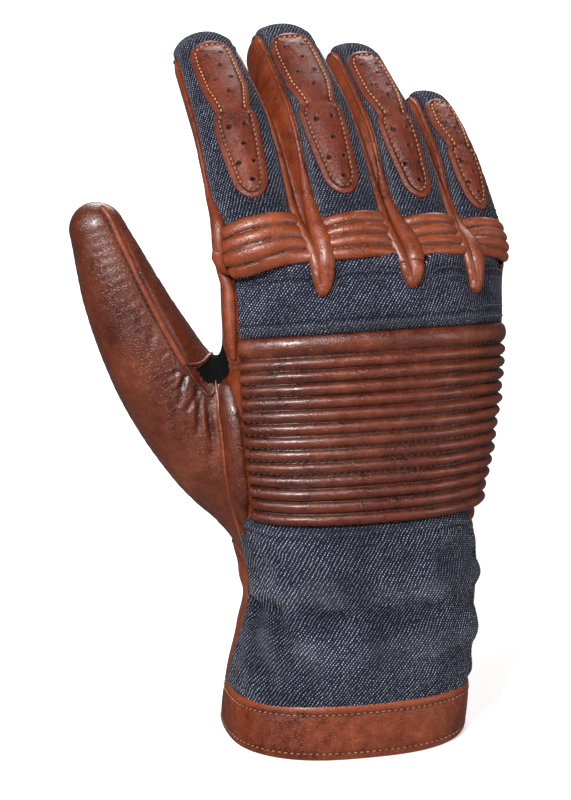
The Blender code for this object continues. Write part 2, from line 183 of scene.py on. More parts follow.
def thumb_distance(points):
    """About how far points are outside the thumb's skin."""
    stops = np.linspace(0, THUMB_LENGTH, 40)
    centres, radii = thumb_centre(stops), thumb_radius(stops)
    gap = np.linalg.norm(points[..., None, :] - centres, axis=-1) - radii
    return gap.min(axis=-1)


# ---- the hand -----------------------------------------------------------------------------------
def hand_raw(turn, height, proud=0.0):
    """The hand's skin at a turn (0 the back, 90 the little-finger side) and a height."""
    turn, height = np.broadcast_arrays(np.asarray(turn, float), np.asarray(height, float))
    x, y, half_width, half_depth, lean, arch = station(height)
    lean = np.radians(lean)
    angle = np.radians(turn)
    across = (half_width + proud) * power(np.sin(angle), 2 / SQUARENESS)
    depth = -(half_depth + proud) * power(np.cos(angle), 2 / SQUARENESS)
    depth = depth + arch * across ** 2 * np.where(across > 0, 1.0, RADIAL_ARCH)
    return np.stack([CUFF_CENTRE[0] + x + across, CUFF_CENTRE[1] + y + depth * np.cos(lean),
                     height - depth * np.sin(lean)], -1)


def hand_section(points):
    """Where points lie in the hand's leaning sections: across, deep, the half sizes and the height."""
    height = points[..., 2]
    for _ in range(4):
        x, y, half_width, half_depth, lean, arch = station(height)
        depth = points[..., 1] - CUFF_CENTRE[1] - y
        height = points[..., 2] + depth * np.tan(np.radians(lean))
    x, y, half_width, half_depth, lean, arch = station(height)
    across = points[..., 0] - CUFF_CENTRE[0] - x
    depth = (points[..., 1] - CUFF_CENTRE[1] - y) / np.cos(np.radians(lean))
    depth = depth - arch * across ** 2 * np.where(across > 0, 1.0, RADIAL_ARCH)
    return across, depth, half_width, half_depth, height


def hand_distance(points):
    """About how far points are outside the hand's skin, by its own sections."""
    across, depth, half_width, half_depth, _ = hand_section(points)
    share = ((np.abs(across) / half_width) ** SQUARENESS + (np.abs(depth) / half_depth) ** SQUARENESS)
    share = np.maximum(share, 1e-9) ** (1 / SQUARENESS)
    reach = np.sqrt(across ** 2 + depth ** 2)
    return reach * (1 - 1 / share)


def normals_of(points):
    """Unit normals of a grid of points, pointing to the left of its first axis across its second."""
    along = np.gradient(points, axis=0)
    across = np.gradient(points, axis=1)
    return unit(np.cross(across, along) + 1e-12)


# ---- fingers ------------------------------------------------------------------------------------
FINGER_LEAN = 42.0
FINGER_CURL = 17.0
KNEE_ROUND = 9.0


class Finger:
    """One finger's path, from its knuckle to its tip, and the sizes along it."""

    def __init__(self, name, roll, heading, upper, half_widths, half_depths, back_turns, palm_turns):
        self.name = name
        self.knuckle = joint_place(name + "_knuckle")
        self.knee = joint_place(name + "_middle_joint")
        self.lower = float(np.linalg.norm(self.knee - self.knuckle))
        self.upper = upper
        self.roll = math.radians(roll)
        self.heading = math.radians(heading)
        self.half_widths = half_widths
        self.half_depths = half_depths
        self.back_turns = back_turns
        self.palm_turns = palm_turns
        self.cap = self.lower + upper - half_depths[2]
        self.stops = np.linspace(-30, self.cap, 400)
        self.centres = self._integrate()

    def lean(self, s):
        bend = FINGER_CURL * smoothstep(s, self.lower - KNEE_ROUND, self.lower + KNEE_ROUND)
        return np.radians(FINGER_LEAN + bend)

    def axis(self, s):
        lean = self.lean(s)
        heading = np.full_like(lean, self.heading)
        return np.stack([np.sin(heading), np.sin(lean) * np.cos(heading),
                         np.cos(lean) * np.cos(heading)], -1)

    def _integrate(self):
        step = np.diff(self.stops)
        middle = (self.stops[:-1] + self.stops[1:]) / 2
        moved = np.concatenate([np.zeros((1, 3)), np.cumsum(self.axis(middle) * step[:, None], axis=0)])
        at_knuckle = np.stack([np.interp(0.0, self.stops, moved[:, k]) for k in range(3)])
        return moved - at_knuckle + self.knuckle

    def frames(self, s):
        axis = self.axis(s)
        wide = np.array([math.cos(self.roll), math.sin(self.roll), 0.0])
        wide = unit(wide - axis * (axis @ wide)[..., None])
        back = np.cross(wide, axis)
        back = np.where((back[..., 1] > 0)[..., None], -back, back)
        return axis, wide, back

    def centre(self, s):
        s = np.clip(s, self.stops[0], self.cap)
        return points_at(s, self.stops, self.centres)

    def sizes(self, s):
        stops = np.array([0.0, self.lower, self.cap])
        s = np.clip(s, 0.0, self.cap)
        width = np.interp(s, stops, self.half_widths)
        depth = np.interp(s, stops, self.half_depths)
        return width, depth

    def point(self, s, turn, proud=0.0, swing=0.0):
        """The skin at s along the finger and a turn (0 the back, 90 toward the little finger).

        swing turns the section about its width, in degrees from the finger's axis, for the tip.
        """
        s, turn, proud, swing = np.broadcast_arrays(
            np.asarray(s, float), np.asarray(turn, float), np.asarray(proud, float),
            np.asarray(swing, float))
        axis, wide, back = self.frames(s)
        width, depth = self.sizes(s)
        angle = np.radians(turn)
        across = (width + proud) * power(np.sin(angle), 0.92)
        deep = (depth + proud) * power(np.cos(angle), 0.92)
        turned = np.radians(swing)[..., None]
        lifted = back * np.cos(turned) + axis * np.sin(turned)
        return self.centre(s) + wide * across[..., None] + lifted * deep[..., None]


FINGERS = [
    Finger("index", -12, -3, 42.0, (13.5, 12.0, 10.1), (12.3, 11.5, 10.2), (-67, -20), (200, 250)),
    Finger("middle", 0, -4.5, 42.9, (13.2, 12.3, 11.2), (12.3, 11.6, 10.4), (-20, 7), (173, 200)),
    Finger("ring", 12, -5.2, 39.4, (12.0, 11.0, 9.7), (11.8, 11.3, 10.0), (7, 38), (143, 173)),
    Finger("little", 25, -2.6, 31.0, (11.0, 9.7, 8.4), (11.0, 10.2, 9.0), (38, 84), (108, 143)),
]

# ---- meshes -------------------------------------------------------------------------------------
UV_SCALE = 0.01     # one unit of UV is 100 mm


def make_object(name, points, faces, uvs, masks, material):
    """A smooth mesh object from points in millimetres; uvs and masks hold one value for each point."""
    mesh = bpy.data.meshes.new(name)
    mesh.from_pydata((np.asarray(points) * MM).tolist(), [], [tuple(face) for face in faces])
    mesh.validate()
    layer = mesh.uv_layers.new(name="cut")
    corners = np.empty(len(mesh.loops), dtype=np.int64)
    mesh.loops.foreach_get("vertex_index", corners)
    layer.data.foreach_set("uv", (np.asarray(uvs)[corners] * UV_SCALE).ravel().astype(np.float32))
    for key, values in (masks or {}).items():
        attribute = mesh.attributes.new(key, "FLOAT", "POINT")
        attribute.data.foreach_set("value", np.asarray(values, np.float32).ravel())
    rest = mesh.attributes.new("rest", "FLOAT_VECTOR", "POINT")
    rest.data.foreach_set("vector", (np.asarray(points) * MM).astype(np.float32).ravel())
    mesh.shade_smooth()
    item = bpy.data.objects.new(name, mesh)
    bpy.context.scene.collection.objects.link(item)
    mesh.materials.append(material)
    return item


def grid_faces(index, wrap=False):
    """Quads over a table of point numbers."""
    if wrap:
        index = np.concatenate([index, index[:, :1]], axis=1)
    a, b, c, d = index[:-1, :-1], index[:-1, 1:], index[1:, 1:], index[1:, :-1]
    return np.stack([a, b, c, d], -1).reshape(-1, 4)


def ring_faces(rows, columns):
    """Quads over rows of points that close both round each row and from the last row to the first."""
    index = np.arange(rows * columns).reshape(rows, columns)
    return grid_faces(np.concatenate([index, index[:1]], axis=0), wrap=True)


def arc_uv(points):
    """Flat coordinates in millimetres from the lengths of a grid's rows and columns."""
    across = np.linalg.norm(np.diff(points, axis=1), axis=-1)
    along = np.linalg.norm(np.diff(points, axis=0), axis=-1)
    u = np.concatenate([np.zeros((len(points), 1)), np.cumsum(across, axis=1)], axis=1)
    u = u - u.mean(axis=1, keepdims=True)
    middle = along[:, along.shape[1] // 2]
    v = np.concatenate([[0], np.cumsum(middle)])[:, None] + np.zeros_like(u)
    return np.stack([u, v], -1)


RIM_ANGLES = np.radians([35.0, 90.0, 145.0])


def sheet_object(name, points, thickness, material, masks=None, uv=None):
    """A sheet with rounded edges: points is its outer face as a grid, thickened inward."""
    rows, columns = points.shape[:2]
    normal = normals_of(points)
    uv = (arc_uv(points) if uv is None else uv).reshape(-1, 2)
    count = rows * columns
    outer = np.arange(count).reshape(rows, columns)
    inner = outer + count
    flat_points, flat_normals = points.reshape(-1, 3), normal.reshape(-1, 3)
    all_points = [flat_points, flat_points - flat_normals * thickness]
    sources = [np.arange(count)] * 2
    faces = [grid_faces(outer), grid_faces(inner)[:, ::-1]]
    # the rim: rings of points round the edge, from the outer face over to the inner one
    ring = np.concatenate([outer[0], outer[1:, -1], outer[-1, -2::-1], outer[-2:0:-1, 0]])
    here, facing = flat_points[ring], flat_normals[ring]
    ahead = np.roll(here, -1, axis=0) - np.roll(here, 1, axis=0)
    out = unit(np.cross(ahead, facing) + 1e-12)
    rings = [ring]
    for k, angle in enumerate(RIM_ANGLES):
        all_points.append(here + out * (math.sin(angle) * thickness / 2)
                          - facing * ((1 - math.cos(angle)) * thickness / 2))
        sources.append(ring)
        rings.append(np.arange(len(ring)) + 2 * count + k * len(ring))
    rings.append(ring + count)
    for low, high in zip(rings, rings[1:]):
        faces.append(np.stack([low, high, np.roll(high, -1), np.roll(low, -1)], -1))
    pick = np.concatenate(sources)
    kept = {key: np.reshape(value, -1)[pick] for key, value in (masks or {}).items()}
    item = make_object(name, np.concatenate(all_points), np.concatenate(faces), uv[pick], kept, material)
    fix_normals(item)
    return item


def fix_normals(item):
    """Turns every face outward."""
    shape = bmesh.new()
    shape.from_mesh(item.data)
    bmesh.ops.recalc_face_normals(shape, faces=shape.faces)
    shape.to_mesh(item.data)
    shape.free()


def tube_object(name, path, radii, material, sides, flatten, up):
    """A closed round strip along a path, tapering as its radii say."""
    tangent = unit(np.gradient(path, axis=0))
    side = unit(np.cross(tangent, up))
    rise = np.cross(side, tangent)
    angle = np.linspace(0, 2 * math.pi, sides, endpoint=False)
    rings = (path[:, None] + side[:, None] * (np.cos(angle)[None, :, None] * radii[:, None, None])
             + rise[:, None] * (np.sin(angle)[None, :, None] * radii[:, None, None] * flatten))
    count = len(path) * sides
    index = np.arange(count).reshape(len(path), sides)
    points = np.concatenate([rings.reshape(-1, 3), path[:1] - tangent[:1] * radii[0] * 0.5,
                             path[-1:] + tangent[-1:] * radii[-1] * 0.5])
    faces = [list(face) for face in grid_faces(index, wrap=True)]
    for k in range(sides):
        faces.append([count, index[0, (k + 1) % sides], index[0, k]])
        faces.append([count + 1, index[-1, k], index[-1, (k + 1) % sides]])
    length = lengths(path)
    uv = np.stack([np.broadcast_to(angle * radii.mean(), (len(path), sides)),
                   np.broadcast_to(length[:, None], (len(path), sides))], -1).reshape(-1, 2)
    uv = np.concatenate([uv, [[0, 0], [0, length[-1]]]])
    item = make_object(name, points, faces, uv, None, material)
    fix_normals(item)
    return item


STITCH = 1.9
THREAD = 0.27
THREAD_SINK = 0.06
THREAD_SIDES, THREAD_RINGS = 6, 6


def stitches(name, path, normals, material, pitch=STITCH, radius=THREAD, fill=0.68, motion="hand"):
    """A row of stitches along a path: short bent lengths of thread, a hole's width apart."""
    path, normals = np.asarray(path, float), np.asarray(normals, float)
    length = lengths(path)
    count = max(1, int(length[-1] / pitch))
    sides, rings = THREAD_SIDES, THREAD_RINGS
    all_points, all_faces = [], []
    angle = np.linspace(0, 2 * math.pi, sides, endpoint=False)
    for k in range(count):
        start = (k + 0.5 - fill / 2) / count * length[-1]
        stop = (k + 0.5 + fill / 2) / count * length[-1]
        at = np.linspace(start, stop, rings)
        core = points_at(at, length, path)
        facing = unit(points_at(at, length, normals))
        share = np.linspace(-1, 1, rings)
        lift = radius * (0.75 - 1.5 * share ** 4) - THREAD_SINK
        core = core + facing * lift[:, None]
        tangent = unit(np.gradient(core, axis=0))
        side = unit(np.cross(tangent, facing))
        rise = np.cross(side, tangent)
        size = radius * np.sqrt(np.clip(1.02 - share ** 2, 0.08, 1))
        ring = (core[:, None] + side[:, None] * (np.cos(angle)[None, :, None] * size[:, None, None])
                + rise[:, None] * (np.sin(angle)[None, :, None] * size[:, None, None]))
        base = k * sides * rings
        index = np.arange(sides * rings).reshape(rings, sides) + base
        all_points.append(ring.reshape(-1, 3))
        all_faces += [tuple(face) for face in grid_faces(index, wrap=True)]
        all_faces += [tuple(index[0, ::-1]), tuple(index[-1])]
    points = np.concatenate(all_points)
    item = make_object(name, points, all_faces, points[:, :2], None, material)
    fix_normals(item)
    place(item, motion, "thread")


# ---- the whole skin as one field: negative inside, about the distance outside ---------------------
WEB_NORMAL = unit(np.array([0.10, 0.0, 1.0]))
WEB_POINT = np.array([14.0, -8.0, 156.5])


def smooth_min(a, b, size):
    """The smaller of two fields, with a round of the given size where they meet."""
    mix = np.clip(size - np.abs(a - b), 0, None) / size
    return np.minimum(a, b) - mix * mix * size / 4


ROOT_STOP = -1.0        # where a finger's own form begins, before its knuckle
FINGER_ROUND = 2.17     # exponent of a finger's section
FINGER_REACH, THUMB_REACH = 72.0, 85.0
FINGER_JOIN, THUMB_JOIN, WEB_JOIN = 4.5, 10.0, 7.0


def finger_distance(finger, points):
    """About how far points are outside a finger's skin."""
    stops = np.linspace(ROOT_STOP, finger.cap, 30)
    centres = finger.centre(stops)
    gap = ((points[:, None, :] - centres[None]) ** 2).sum(-1)
    s = stops[gap.argmin(axis=1)]
    for _ in range(2):
        axis, wide, back = finger.frames(s)
        s = np.clip(s + ((points - finger.centre(s)) * axis).sum(-1), ROOT_STOP, finger.cap)
    axis, wide, back = finger.frames(s)
    away = points - finger.centre(s)
    width, depth = finger.sizes(s)
    palmward = (away * back).sum(-1) < 0
    depth = depth + np.where(palmward, 2.0 * smoothstep(-s, -22, 4), 0.0)
    parts = [np.abs((away * wide).sum(-1)) / width, np.abs((away * back).sum(-1)) / depth,
             np.abs((away * axis).sum(-1)) / finger.half_depths[2]]
    share = sum(part ** FINGER_ROUND for part in parts) ** (1 / FINGER_ROUND)
    share = np.maximum(share, 1e-3)
    return np.linalg.norm(away, axis=-1) * (1 - 1 / share)


def palm_body(points):
    """The hand without its digits, closed by the web above and open below."""
    web = (points - WEB_POINT) @ WEB_NORMAL
    inside = hand_distance(points)
    return -smooth_min(-inside, -web, WEB_JOIN)


def thumb_gap(points):
    """How far points are from the thumb's middle."""
    return np.linalg.norm(points - (THUMB_BASE + THUMB_TIP) / 2, axis=1)


def with_thumb(points, out):
    """A field's values with the thumb's joined on."""
    near = thumb_gap(points) < THUMB_REACH
    if near.any():
        out[near] = smooth_min(out[near], thumb_distance(points[near]), THUMB_JOIN)
    return out


def skin_field(points):
    """The whole glove's skin, for the leather over the palm and the digits."""
    points = np.asarray(points, float)
    shape = points.shape[:-1]
    flat = points.reshape(-1, 3)
    out = palm_body(flat)
    for finger in FINGERS:
        near = np.linalg.norm(flat - (finger.knuckle + np.array([0.0, 22.0, 26.0])), axis=1) < FINGER_REACH
        if near.any():
            out[near] = smooth_min(out[near], finger_distance(finger, flat[near]), FINGER_JOIN)
    return with_thumb(flat, out).reshape(shape)


def hand_field(points):
    """The hand and thumb alone, for the pieces over the back and round the cuff."""
    points = np.asarray(points, float)
    shape = points.shape[:-1]
    flat = points.reshape(-1, 3)
    out = hand_distance(flat)
    return with_thumb(flat, out).reshape(shape)


def gradient(points, field=skin_field, step=0.4):
    """The slope of a field, by steps in millimetres."""
    rows = []
    for k in range(3):
        move = np.zeros(3)
        move[k] = step
        rows.append(field(points + move) - field(points - move))
    return np.stack(rows, -1) / (2 * step)


def drape(points, proud=0.0, field=skin_field, rounds=3, limit=3.0):
    """Points moved along the skin's normals until they stand the given height off it."""
    points = np.array(points, float)
    for _ in range(rounds):
        slope = gradient(points, field)
        size = np.maximum((slope ** 2).sum(-1, keepdims=True), 0.15)
        miss = (field(points) - proud)[..., None]
        points = points - slope * np.clip(miss / size, -limit, limit)
    return points, unit(gradient(points, field))


def surface_net(values, axes, step):
    """Quads round the zero of a field's values, one point in each cell it passes through."""
    shape = values.shape
    inside = values < 0
    corners = [(i, j, k) for i in (0, 1) for j in (0, 1) for k in (0, 1)]

    def block(array, corner):
        i, j, k = corner
        return array[i:shape[0] - 1 + i, j:shape[1] - 1 + j, k:shape[2] - 1 + k]

    any_in = np.zeros([n - 1 for n in shape], bool)
    all_in = np.ones_like(any_in)
    for corner in corners:
        any_in |= block(inside, corner)
        all_in &= block(inside, corner)
    cells = np.argwhere(any_in & ~all_in)
    number = -np.ones(any_in.shape, int)
    number[tuple(cells.T)] = np.arange(len(cells))
    total = np.zeros((len(cells), 3))
    count = np.zeros(len(cells))
    for a in corners:
        for axis in range(3):
            if a[axis]:
                continue
            b = tuple(1 if k == axis else a[k] for k in range(3))
            fa = values[tuple((cells + a).T)]
            fb = values[tuple((cells + b).T)]
            crossing = (fa < 0) != (fb < 0)
            t = np.where(crossing, fa / np.where(crossing, fa - fb, 1), 0)
            spot = cells + np.array(a) + 0.0
            spot[:, axis] += t
            total += spot * crossing[:, None]
            count += crossing
    points = np.array([axis[0] for axis in axes]) + total / count[:, None] * step
    faces = []
    for axis in range(3):
        u, v = [(1, 2), (2, 0), (0, 1)][axis]
        first = [slice(None)] * 3
        first[axis] = slice(0, -1)
        second = [slice(None)] * 3
        second[axis] = slice(1, None)
        change = inside[tuple(first)] != inside[tuple(second)]
        for side in (u, v):
            edge = [slice(None)] * 3
            edge[side] = 0
            change[tuple(edge)] = False
            edge[side] = -1
            change[tuple(edge)] = False
        at = np.argwhere(change)
        quads = []
        for du, dv in ((1, 1), (0, 1), (0, 0), (1, 0)):
            cell = at.copy()
            cell[:, u] -= du
            cell[:, v] -= dv
            quads.append(number[tuple(cell.T)])
        quad = np.stack(quads, -1)
        starts_in = inside[tuple(at.T)]
        quad[~starts_in] = quad[~starts_in][:, ::-1]
        faces.append(quad)
    faces = np.concatenate(faces)
    faces = faces[(faces >= 0).all(axis=1)]
    return points, faces


def face_sides(faces):
    """The sides of quads, as pairs of point numbers."""
    return np.stack([faces, np.roll(faces, -1, axis=1)], -1).reshape(-1, 2)


def subdivide(points, faces):
    """Each quad in four."""
    edges = np.sort(face_sides(faces), axis=1)
    unique, place = np.unique(edges, axis=0, return_inverse=True)
    place = place.reshape(-1)
    mids = points[unique].mean(axis=1)
    centres = points[faces].mean(axis=1)
    first, second = len(points), len(points) + len(mids)
    middle = place.reshape(-1, 4) + first
    centre = np.arange(len(faces)) + second
    pieces = [np.stack([faces[:, k], middle[:, k], centre, middle[:, (k - 1) % 4]], -1) for k in range(4)]
    return np.concatenate([points, mids, centres]), np.concatenate(pieces)


def relax(points, faces, rounds=2, weight=0.5):
    """Each point moved toward the mean of its neighbours."""
    edges = np.unique(np.sort(face_sides(faces), axis=1), axis=0)
    for _ in range(rounds):
        total = np.zeros_like(points)
        count = np.zeros(len(points))
        for a, b in ((0, 1), (1, 0)):
            np.add.at(total, edges[:, a], points[edges[:, b]])
            np.add.at(count, edges[:, a], 1)
        points = points + weight * (total / np.maximum(count, 1)[:, None] - points)
    return points


def patch_object(name, points, normals, faces, chosen, thickness, material, masks):
    """A closed shell from some faces of a skin: its outer side, an inner side and flat cut edges."""
    faces = faces[chosen]
    used = np.unique(faces)
    renumber = np.zeros(len(points), int)
    renumber[used] = np.arange(len(used))
    faces = renumber[faces]
    count = len(used)
    outer, facing = points[used], normals[used]
    sides = face_sides(faces)
    _, place, times = np.unique(np.sort(sides, axis=1), axis=0, return_inverse=True, return_counts=True)
    rim = sides[times[place.reshape(-1)] == 1]
    rims = np.stack([rim[:, 1], rim[:, 0], rim[:, 0] + count, rim[:, 1] + count], -1)
    everything = np.concatenate([faces, faces[:, ::-1] + count, rims])
    data = {key: np.tile(value[used], 2) for key, value in masks.items()}
    flat = np.tile(outer[:, [0, 2]], (2, 1))
    item = make_object(name, np.concatenate([outer, outer - facing * thickness]), everything, flat,
                       data, material)
    edges = np.empty(len(item.data.edges) * 2, dtype=np.int32)
    item.data.edges.foreach_get("vertices", edges)
    rim_edges = np.concatenate([rim, rim + count])
    edge_codes, rim_codes = (np.sort(pairs.reshape(-1, 2), axis=1).astype(np.int64) @ [2 * count, 1]
                             for pairs in (edges, rim_edges))
    sharp = np.isin(edge_codes, rim_codes)
    layer = item.data.attributes.new("sharp_edge", "BOOLEAN", "EDGE")
    layer.data.foreach_set("value", sharp)
    return item


def clean(chosen, faces, rounds=2):
    """Drops faces that hang on by a corner or stick out of a cut edge."""
    for _ in range(rounds):
        live = faces[chosen]
        if not len(live):
            return chosen
        sides = np.sort(face_sides(live), axis=1)
        _, place, times = np.unique(sides, axis=0, return_inverse=True, return_counts=True)
        free = (times[place.reshape(-1)] == 1).reshape(-1, 4).sum(axis=1)
        chosen = chosen.copy()
        where = np.flatnonzero(chosen)
        chosen[where[free >= 3]] = False
    return chosen


def near_line(points, line):
    """Distance from each point to a broken line, and how far along it, 0 to 1."""
    best = np.full(len(points), 1e9)
    share = np.zeros(len(points))
    total = lengths(line)
    for k in range(len(line) - 1):
        a, b = line[k], line[k + 1]
        run = b - a
        t = np.clip(((points - a) @ run) / (run @ run), 0, 1)
        gap = np.linalg.norm(points - a - t[:, None] * run, axis=1)
        closer = gap < best
        best = np.where(closer, gap, best)
        share = np.where(closer, (total[k] + t * (total[k + 1] - total[k])) / total[-1], share)
    return best, share


# ---- materials ------------------------------------------------------------------------------------
class Nodes:
    """A material's node tree with short ways to add and join nodes."""

    def __init__(self, name):
        self.material = bpy.data.materials.new(name)
        self.material.use_nodes = True
        self.tree = self.material.node_tree
        self.shader = self.tree.nodes["Principled BSDF"]
        rest = self.tree.nodes.new("ShaderNodeAttribute")
        rest.attribute_name = "rest"
        self.rest = rest.outputs["Vector"]
        self.uv = self.tree.nodes.new("ShaderNodeUVMap").outputs["UV"]

    def link(self, source, target):
        if isinstance(source, (int, float)):
            target.default_value = source
        elif isinstance(source, tuple):
            target.default_value = source if len(source) == 4 else (*source, 1.0)
        else:
            self.tree.links.new(source, target)

    def fix(self, **constants):
        """Constants on the shader's sockets, named with _ for a space."""
        for name, value in constants.items():
            self.shader.inputs[name.replace("_", " ")].default_value = value

    def math(self, operation, a, b=0.0, c=0.0):
        node = self.tree.nodes.new("ShaderNodeMath")
        node.operation = operation
        for value, socket in zip((a, b, c), node.inputs):
            self.link(value, socket)
        return node.outputs[0]

    def weigh(self, *parts):
        """The sum of values, each times its own weight."""
        total = None
        for value, weight in parts:
            part = self.math("MULTIPLY", value, weight)
            total = part if total is None else self.math("ADD", total, part)
        return total

    def noise(self, vector, scale, detail=3.0, rough=0.55, distortion=0.0):
        node = self.tree.nodes.new("ShaderNodeTexNoise")
        self.link(vector, node.inputs["Vector"])
        node.inputs["Scale"].default_value = scale
        node.inputs["Detail"].default_value = detail
        node.inputs["Roughness"].default_value = rough
        node.inputs["Distortion"].default_value = distortion
        return node.outputs["Fac"]

    def cells(self, vector, scale):
        node = self.tree.nodes.new("ShaderNodeTexVoronoi")
        self.link(vector, node.inputs["Vector"])
        node.inputs["Scale"].default_value = scale
        return node.outputs["Distance"]

    def ramp(self, value, low, high, start=0.0, stop=1.0):
        node = self.tree.nodes.new("ShaderNodeMapRange")
        node.interpolation_type = "SMOOTHSTEP"
        self.link(value, node.inputs["Value"])
        for key, number in zip(("From Min", "From Max", "To Min", "To Max"), (low, high, start, stop)):
            node.inputs[key].default_value = number
        return node.outputs["Result"]

    def mix(self, factor, a, b):
        node = self.tree.nodes.new("ShaderNodeMix")
        node.data_type = "RGBA"
        self.link(factor, node.inputs["Factor"])
        self.link(a, node.inputs[6])
        self.link(b, node.inputs[7])
        return node.outputs[2]

    def attribute(self, name):
        node = self.tree.nodes.new("ShaderNodeAttribute")
        node.attribute_name = name
        return node.outputs["Fac"]

    def bump(self, height, distance):
        node = self.tree.nodes.new("ShaderNodeBump")
        self.link(height, node.inputs["Height"])
        node.inputs["Distance"].default_value = distance
        node.inputs["Strength"].default_value = 1.0
        return node.outputs["Normal"]

    def split(self, vector):
        node = self.tree.nodes.new("ShaderNodeSeparateXYZ")
        self.link(vector, node.inputs[0])
        return node.outputs[0], node.outputs[1]


def leather(name, dark, middle, light, rough=(0.30, 0.46), grain=0.00024, coat=0.10, specular=0.48):
    """Grained hide: large clouds of tone, small mottling, pores, fine creases and an uneven sheen, lighter
    where the worn attribute says (wear, and painted highlight on ridges and fold lips) and darkened to
    painted shade where the shade attribute says.

    The rest attribute is in metres, so scales are features to the metre.
    """
    n = Nodes(name)
    clouds = n.noise(n.rest, 42.0, 3.0, 0.6, 0.4)
    mottle = n.noise(n.rest, 260.0, 4.0, 0.62)
    speck = n.noise(n.rest, 1500.0, 3.0, 0.6)
    tone = n.weigh((clouds, 0.42), (mottle, 0.36), (speck, 0.22))
    dye_and_painted_light = n.mix(n.ramp(tone, 0.34, 0.53), dark, middle)
    dye_and_painted_light = n.mix(n.ramp(tone, 0.50, 0.68), dye_and_painted_light, light)
    # lighter towards the light tone where the worn attribute says: wear, and painted highlight on rib crowns
    # and fold lips
    worn = n.attribute("worn")
    dye_and_painted_light = n.mix(n.math("MULTIPLY", worn, 0.55), dye_and_painted_light, light)
    # painted shade: darkened towards a tenth of the dark tone where the shade attribute says, in grooves,
    # creases, hollows, along edges and stitch lines
    shade = n.attribute("shade")
    deep = tuple(0.10 * value for value in dark)
    dye_and_painted_light = n.mix(n.math("MULTIPLY", shade, 0.96), dye_and_painted_light, deep)
    pores = n.cells(n.rest, 1350.0)
    facing = n.ramp(pores, 0.05, 0.42)
    creases = n.noise(n.rest, 760.0, 5.0, 0.7, 1.2)
    height = n.weigh((facing, 0.5), (creases, 0.8))
    shine = n.weigh((mottle, 0.65), (clouds, 0.35))
    n.link(dye_and_painted_light, n.shader.inputs["Base Color"])
    n.link(n.ramp(shine, 0.35, 0.65, rough[0], rough[1]), n.shader.inputs["Roughness"])
    n.link(n.bump(height, grain), n.shader.inputs["Normal"])
    n.fix(Coat_Weight=coat, Coat_Roughness=0.22, Specular_IOR_Level=specular)
    return n.material


def denim(name, navy=(0.0042, 0.0050, 0.0130), white=(0.60, 0.63, 0.68), pitch=0.98, pale=0.72):
    """Twill: pale weft showing in slanted rows between dark warp, uneven from yarn to yarn."""
    n = Nodes(name)
    u, v = n.split(n.uv)
    wobble = n.math("MULTIPLY", n.math("SUBTRACT", n.noise(n.uv, 30.0, 2.0), 0.5), 0.010)
    lean = math.radians(58)
    across = n.math("ADD", n.math("SUBTRACT", n.math("MULTIPLY", u, math.sin(lean)),
                                  n.math("MULTIPLY", v, math.cos(lean))), wobble)
    along = n.weigh((u, math.cos(lean)), (v, math.sin(lean)))
    turns = 2 * math.pi / (pitch * UV_SCALE)
    rows = n.math("SINE", n.math("MULTIPLY", across, turns))
    beads = n.math("SINE", n.weigh((along, turns * 1.35), (across, turns * 0.5)))
    yarn = n.noise(n.uv, 90.0, 4.0, 0.75)
    fleck = n.math("MULTIPLY", n.ramp(rows, 0.42, 0.98), n.ramp(beads, -0.05, 0.9, 0.10, 1.0))
    fleck = n.math("MULTIPLY", fleck, n.ramp(yarn, 0.36, 0.62, 0.05, 1.25))
    fleck = n.math("MULTIPLY", fleck, pale)
    fade = n.noise(n.uv, 4.5, 3.0, 0.6)
    base = n.mix(n.ramp(fade, 0.35, 0.7), navy, tuple(1.9 * value for value in navy))
    fleck = n.math("MULTIPLY", fleck, n.ramp(fade, 0.32, 0.66, 0.45, 1.15))
    warp = n.noise(n.uv, 160.0, 2.0, 0.6)
    base = n.mix(n.ramp(warp, 0.45, 0.75, 0.0, 0.35), base, (0.014, 0.016, 0.038))
    # paler flecks where the worn attribute says: wear, and on raised gathers also painted highlight
    worn = n.attribute("worn")
    fleck = n.math("ADD", fleck, n.math("MULTIPLY", worn, 0.05))
    cloth = n.mix(fleck, base, white)
    # painted shade: near-black where the shade attribute says, along edges, in fold hollows and in the
    # grooves of the rows of stitches
    cloth = n.mix(n.math("MULTIPLY", n.attribute("shade"), 0.8), cloth, (0.002, 0.003, 0.008))
    height = n.weigh((rows, 0.5), (beads, 0.3), (yarn, 0.8))
    n.link(cloth, n.shader.inputs["Base Color"])
    n.fix(Roughness=0.86, Specular_IOR_Level=0.10, Sheen_Weight=0.02, Sheen_Roughness=0.5)
    n.link(n.bump(height, 0.00018), n.shader.inputs["Normal"])
    return n.material


def knit(name, colour, light, pitch):
    """Stretch fabric: wales along the piece, with courses zigzagging across them."""
    n = Nodes(name)
    u, v = n.split(n.uv)
    turns = 2 * math.pi / (pitch * UV_SCALE)
    wales = n.math("ABSOLUTE", n.math("SINE", n.math("MULTIPLY", u, turns / 2)))
    zigzag = n.math("ABSOLUTE", n.math("SINE", n.math("MULTIPLY", u, turns)))
    courses = n.math("SINE", n.weigh((v, turns * 1.2), (zigzag, 1.6)))
    fuzz = n.noise(n.rest, 1800.0, 3.0)
    height = n.weigh((wales, 0.7), (courses, 0.3))
    tone = n.weigh((height, 0.6), (fuzz, 0.5))
    n.link(n.mix(n.ramp(tone, 0.3, 1.0), colour, light), n.shader.inputs["Base Color"])
    n.fix(Roughness=0.9, Specular_IOR_Level=0.12)
    n.link(n.bump(height, 0.0003), n.shader.inputs["Normal"])
    return n.material


def thread(name, colour, light):
    """Sewing thread with fine fibres, its tone drifting along the row."""
    n = Nodes(name)
    fibres = n.noise(n.rest, 5200.0, 2.0, 0.6)
    lot = n.noise(n.rest, 130.0, 2.0, 0.6)
    tone = n.weigh((fibres, 0.5), (lot, 0.5))
    n.link(n.mix(n.ramp(tone, 0.35, 0.65), colour, light), n.shader.inputs["Base Color"])
    n.fix(Roughness=0.55, Sheen_Weight=0.2)
    n.link(n.bump(fibres, 0.00005), n.shader.inputs["Normal"])
    return n.material


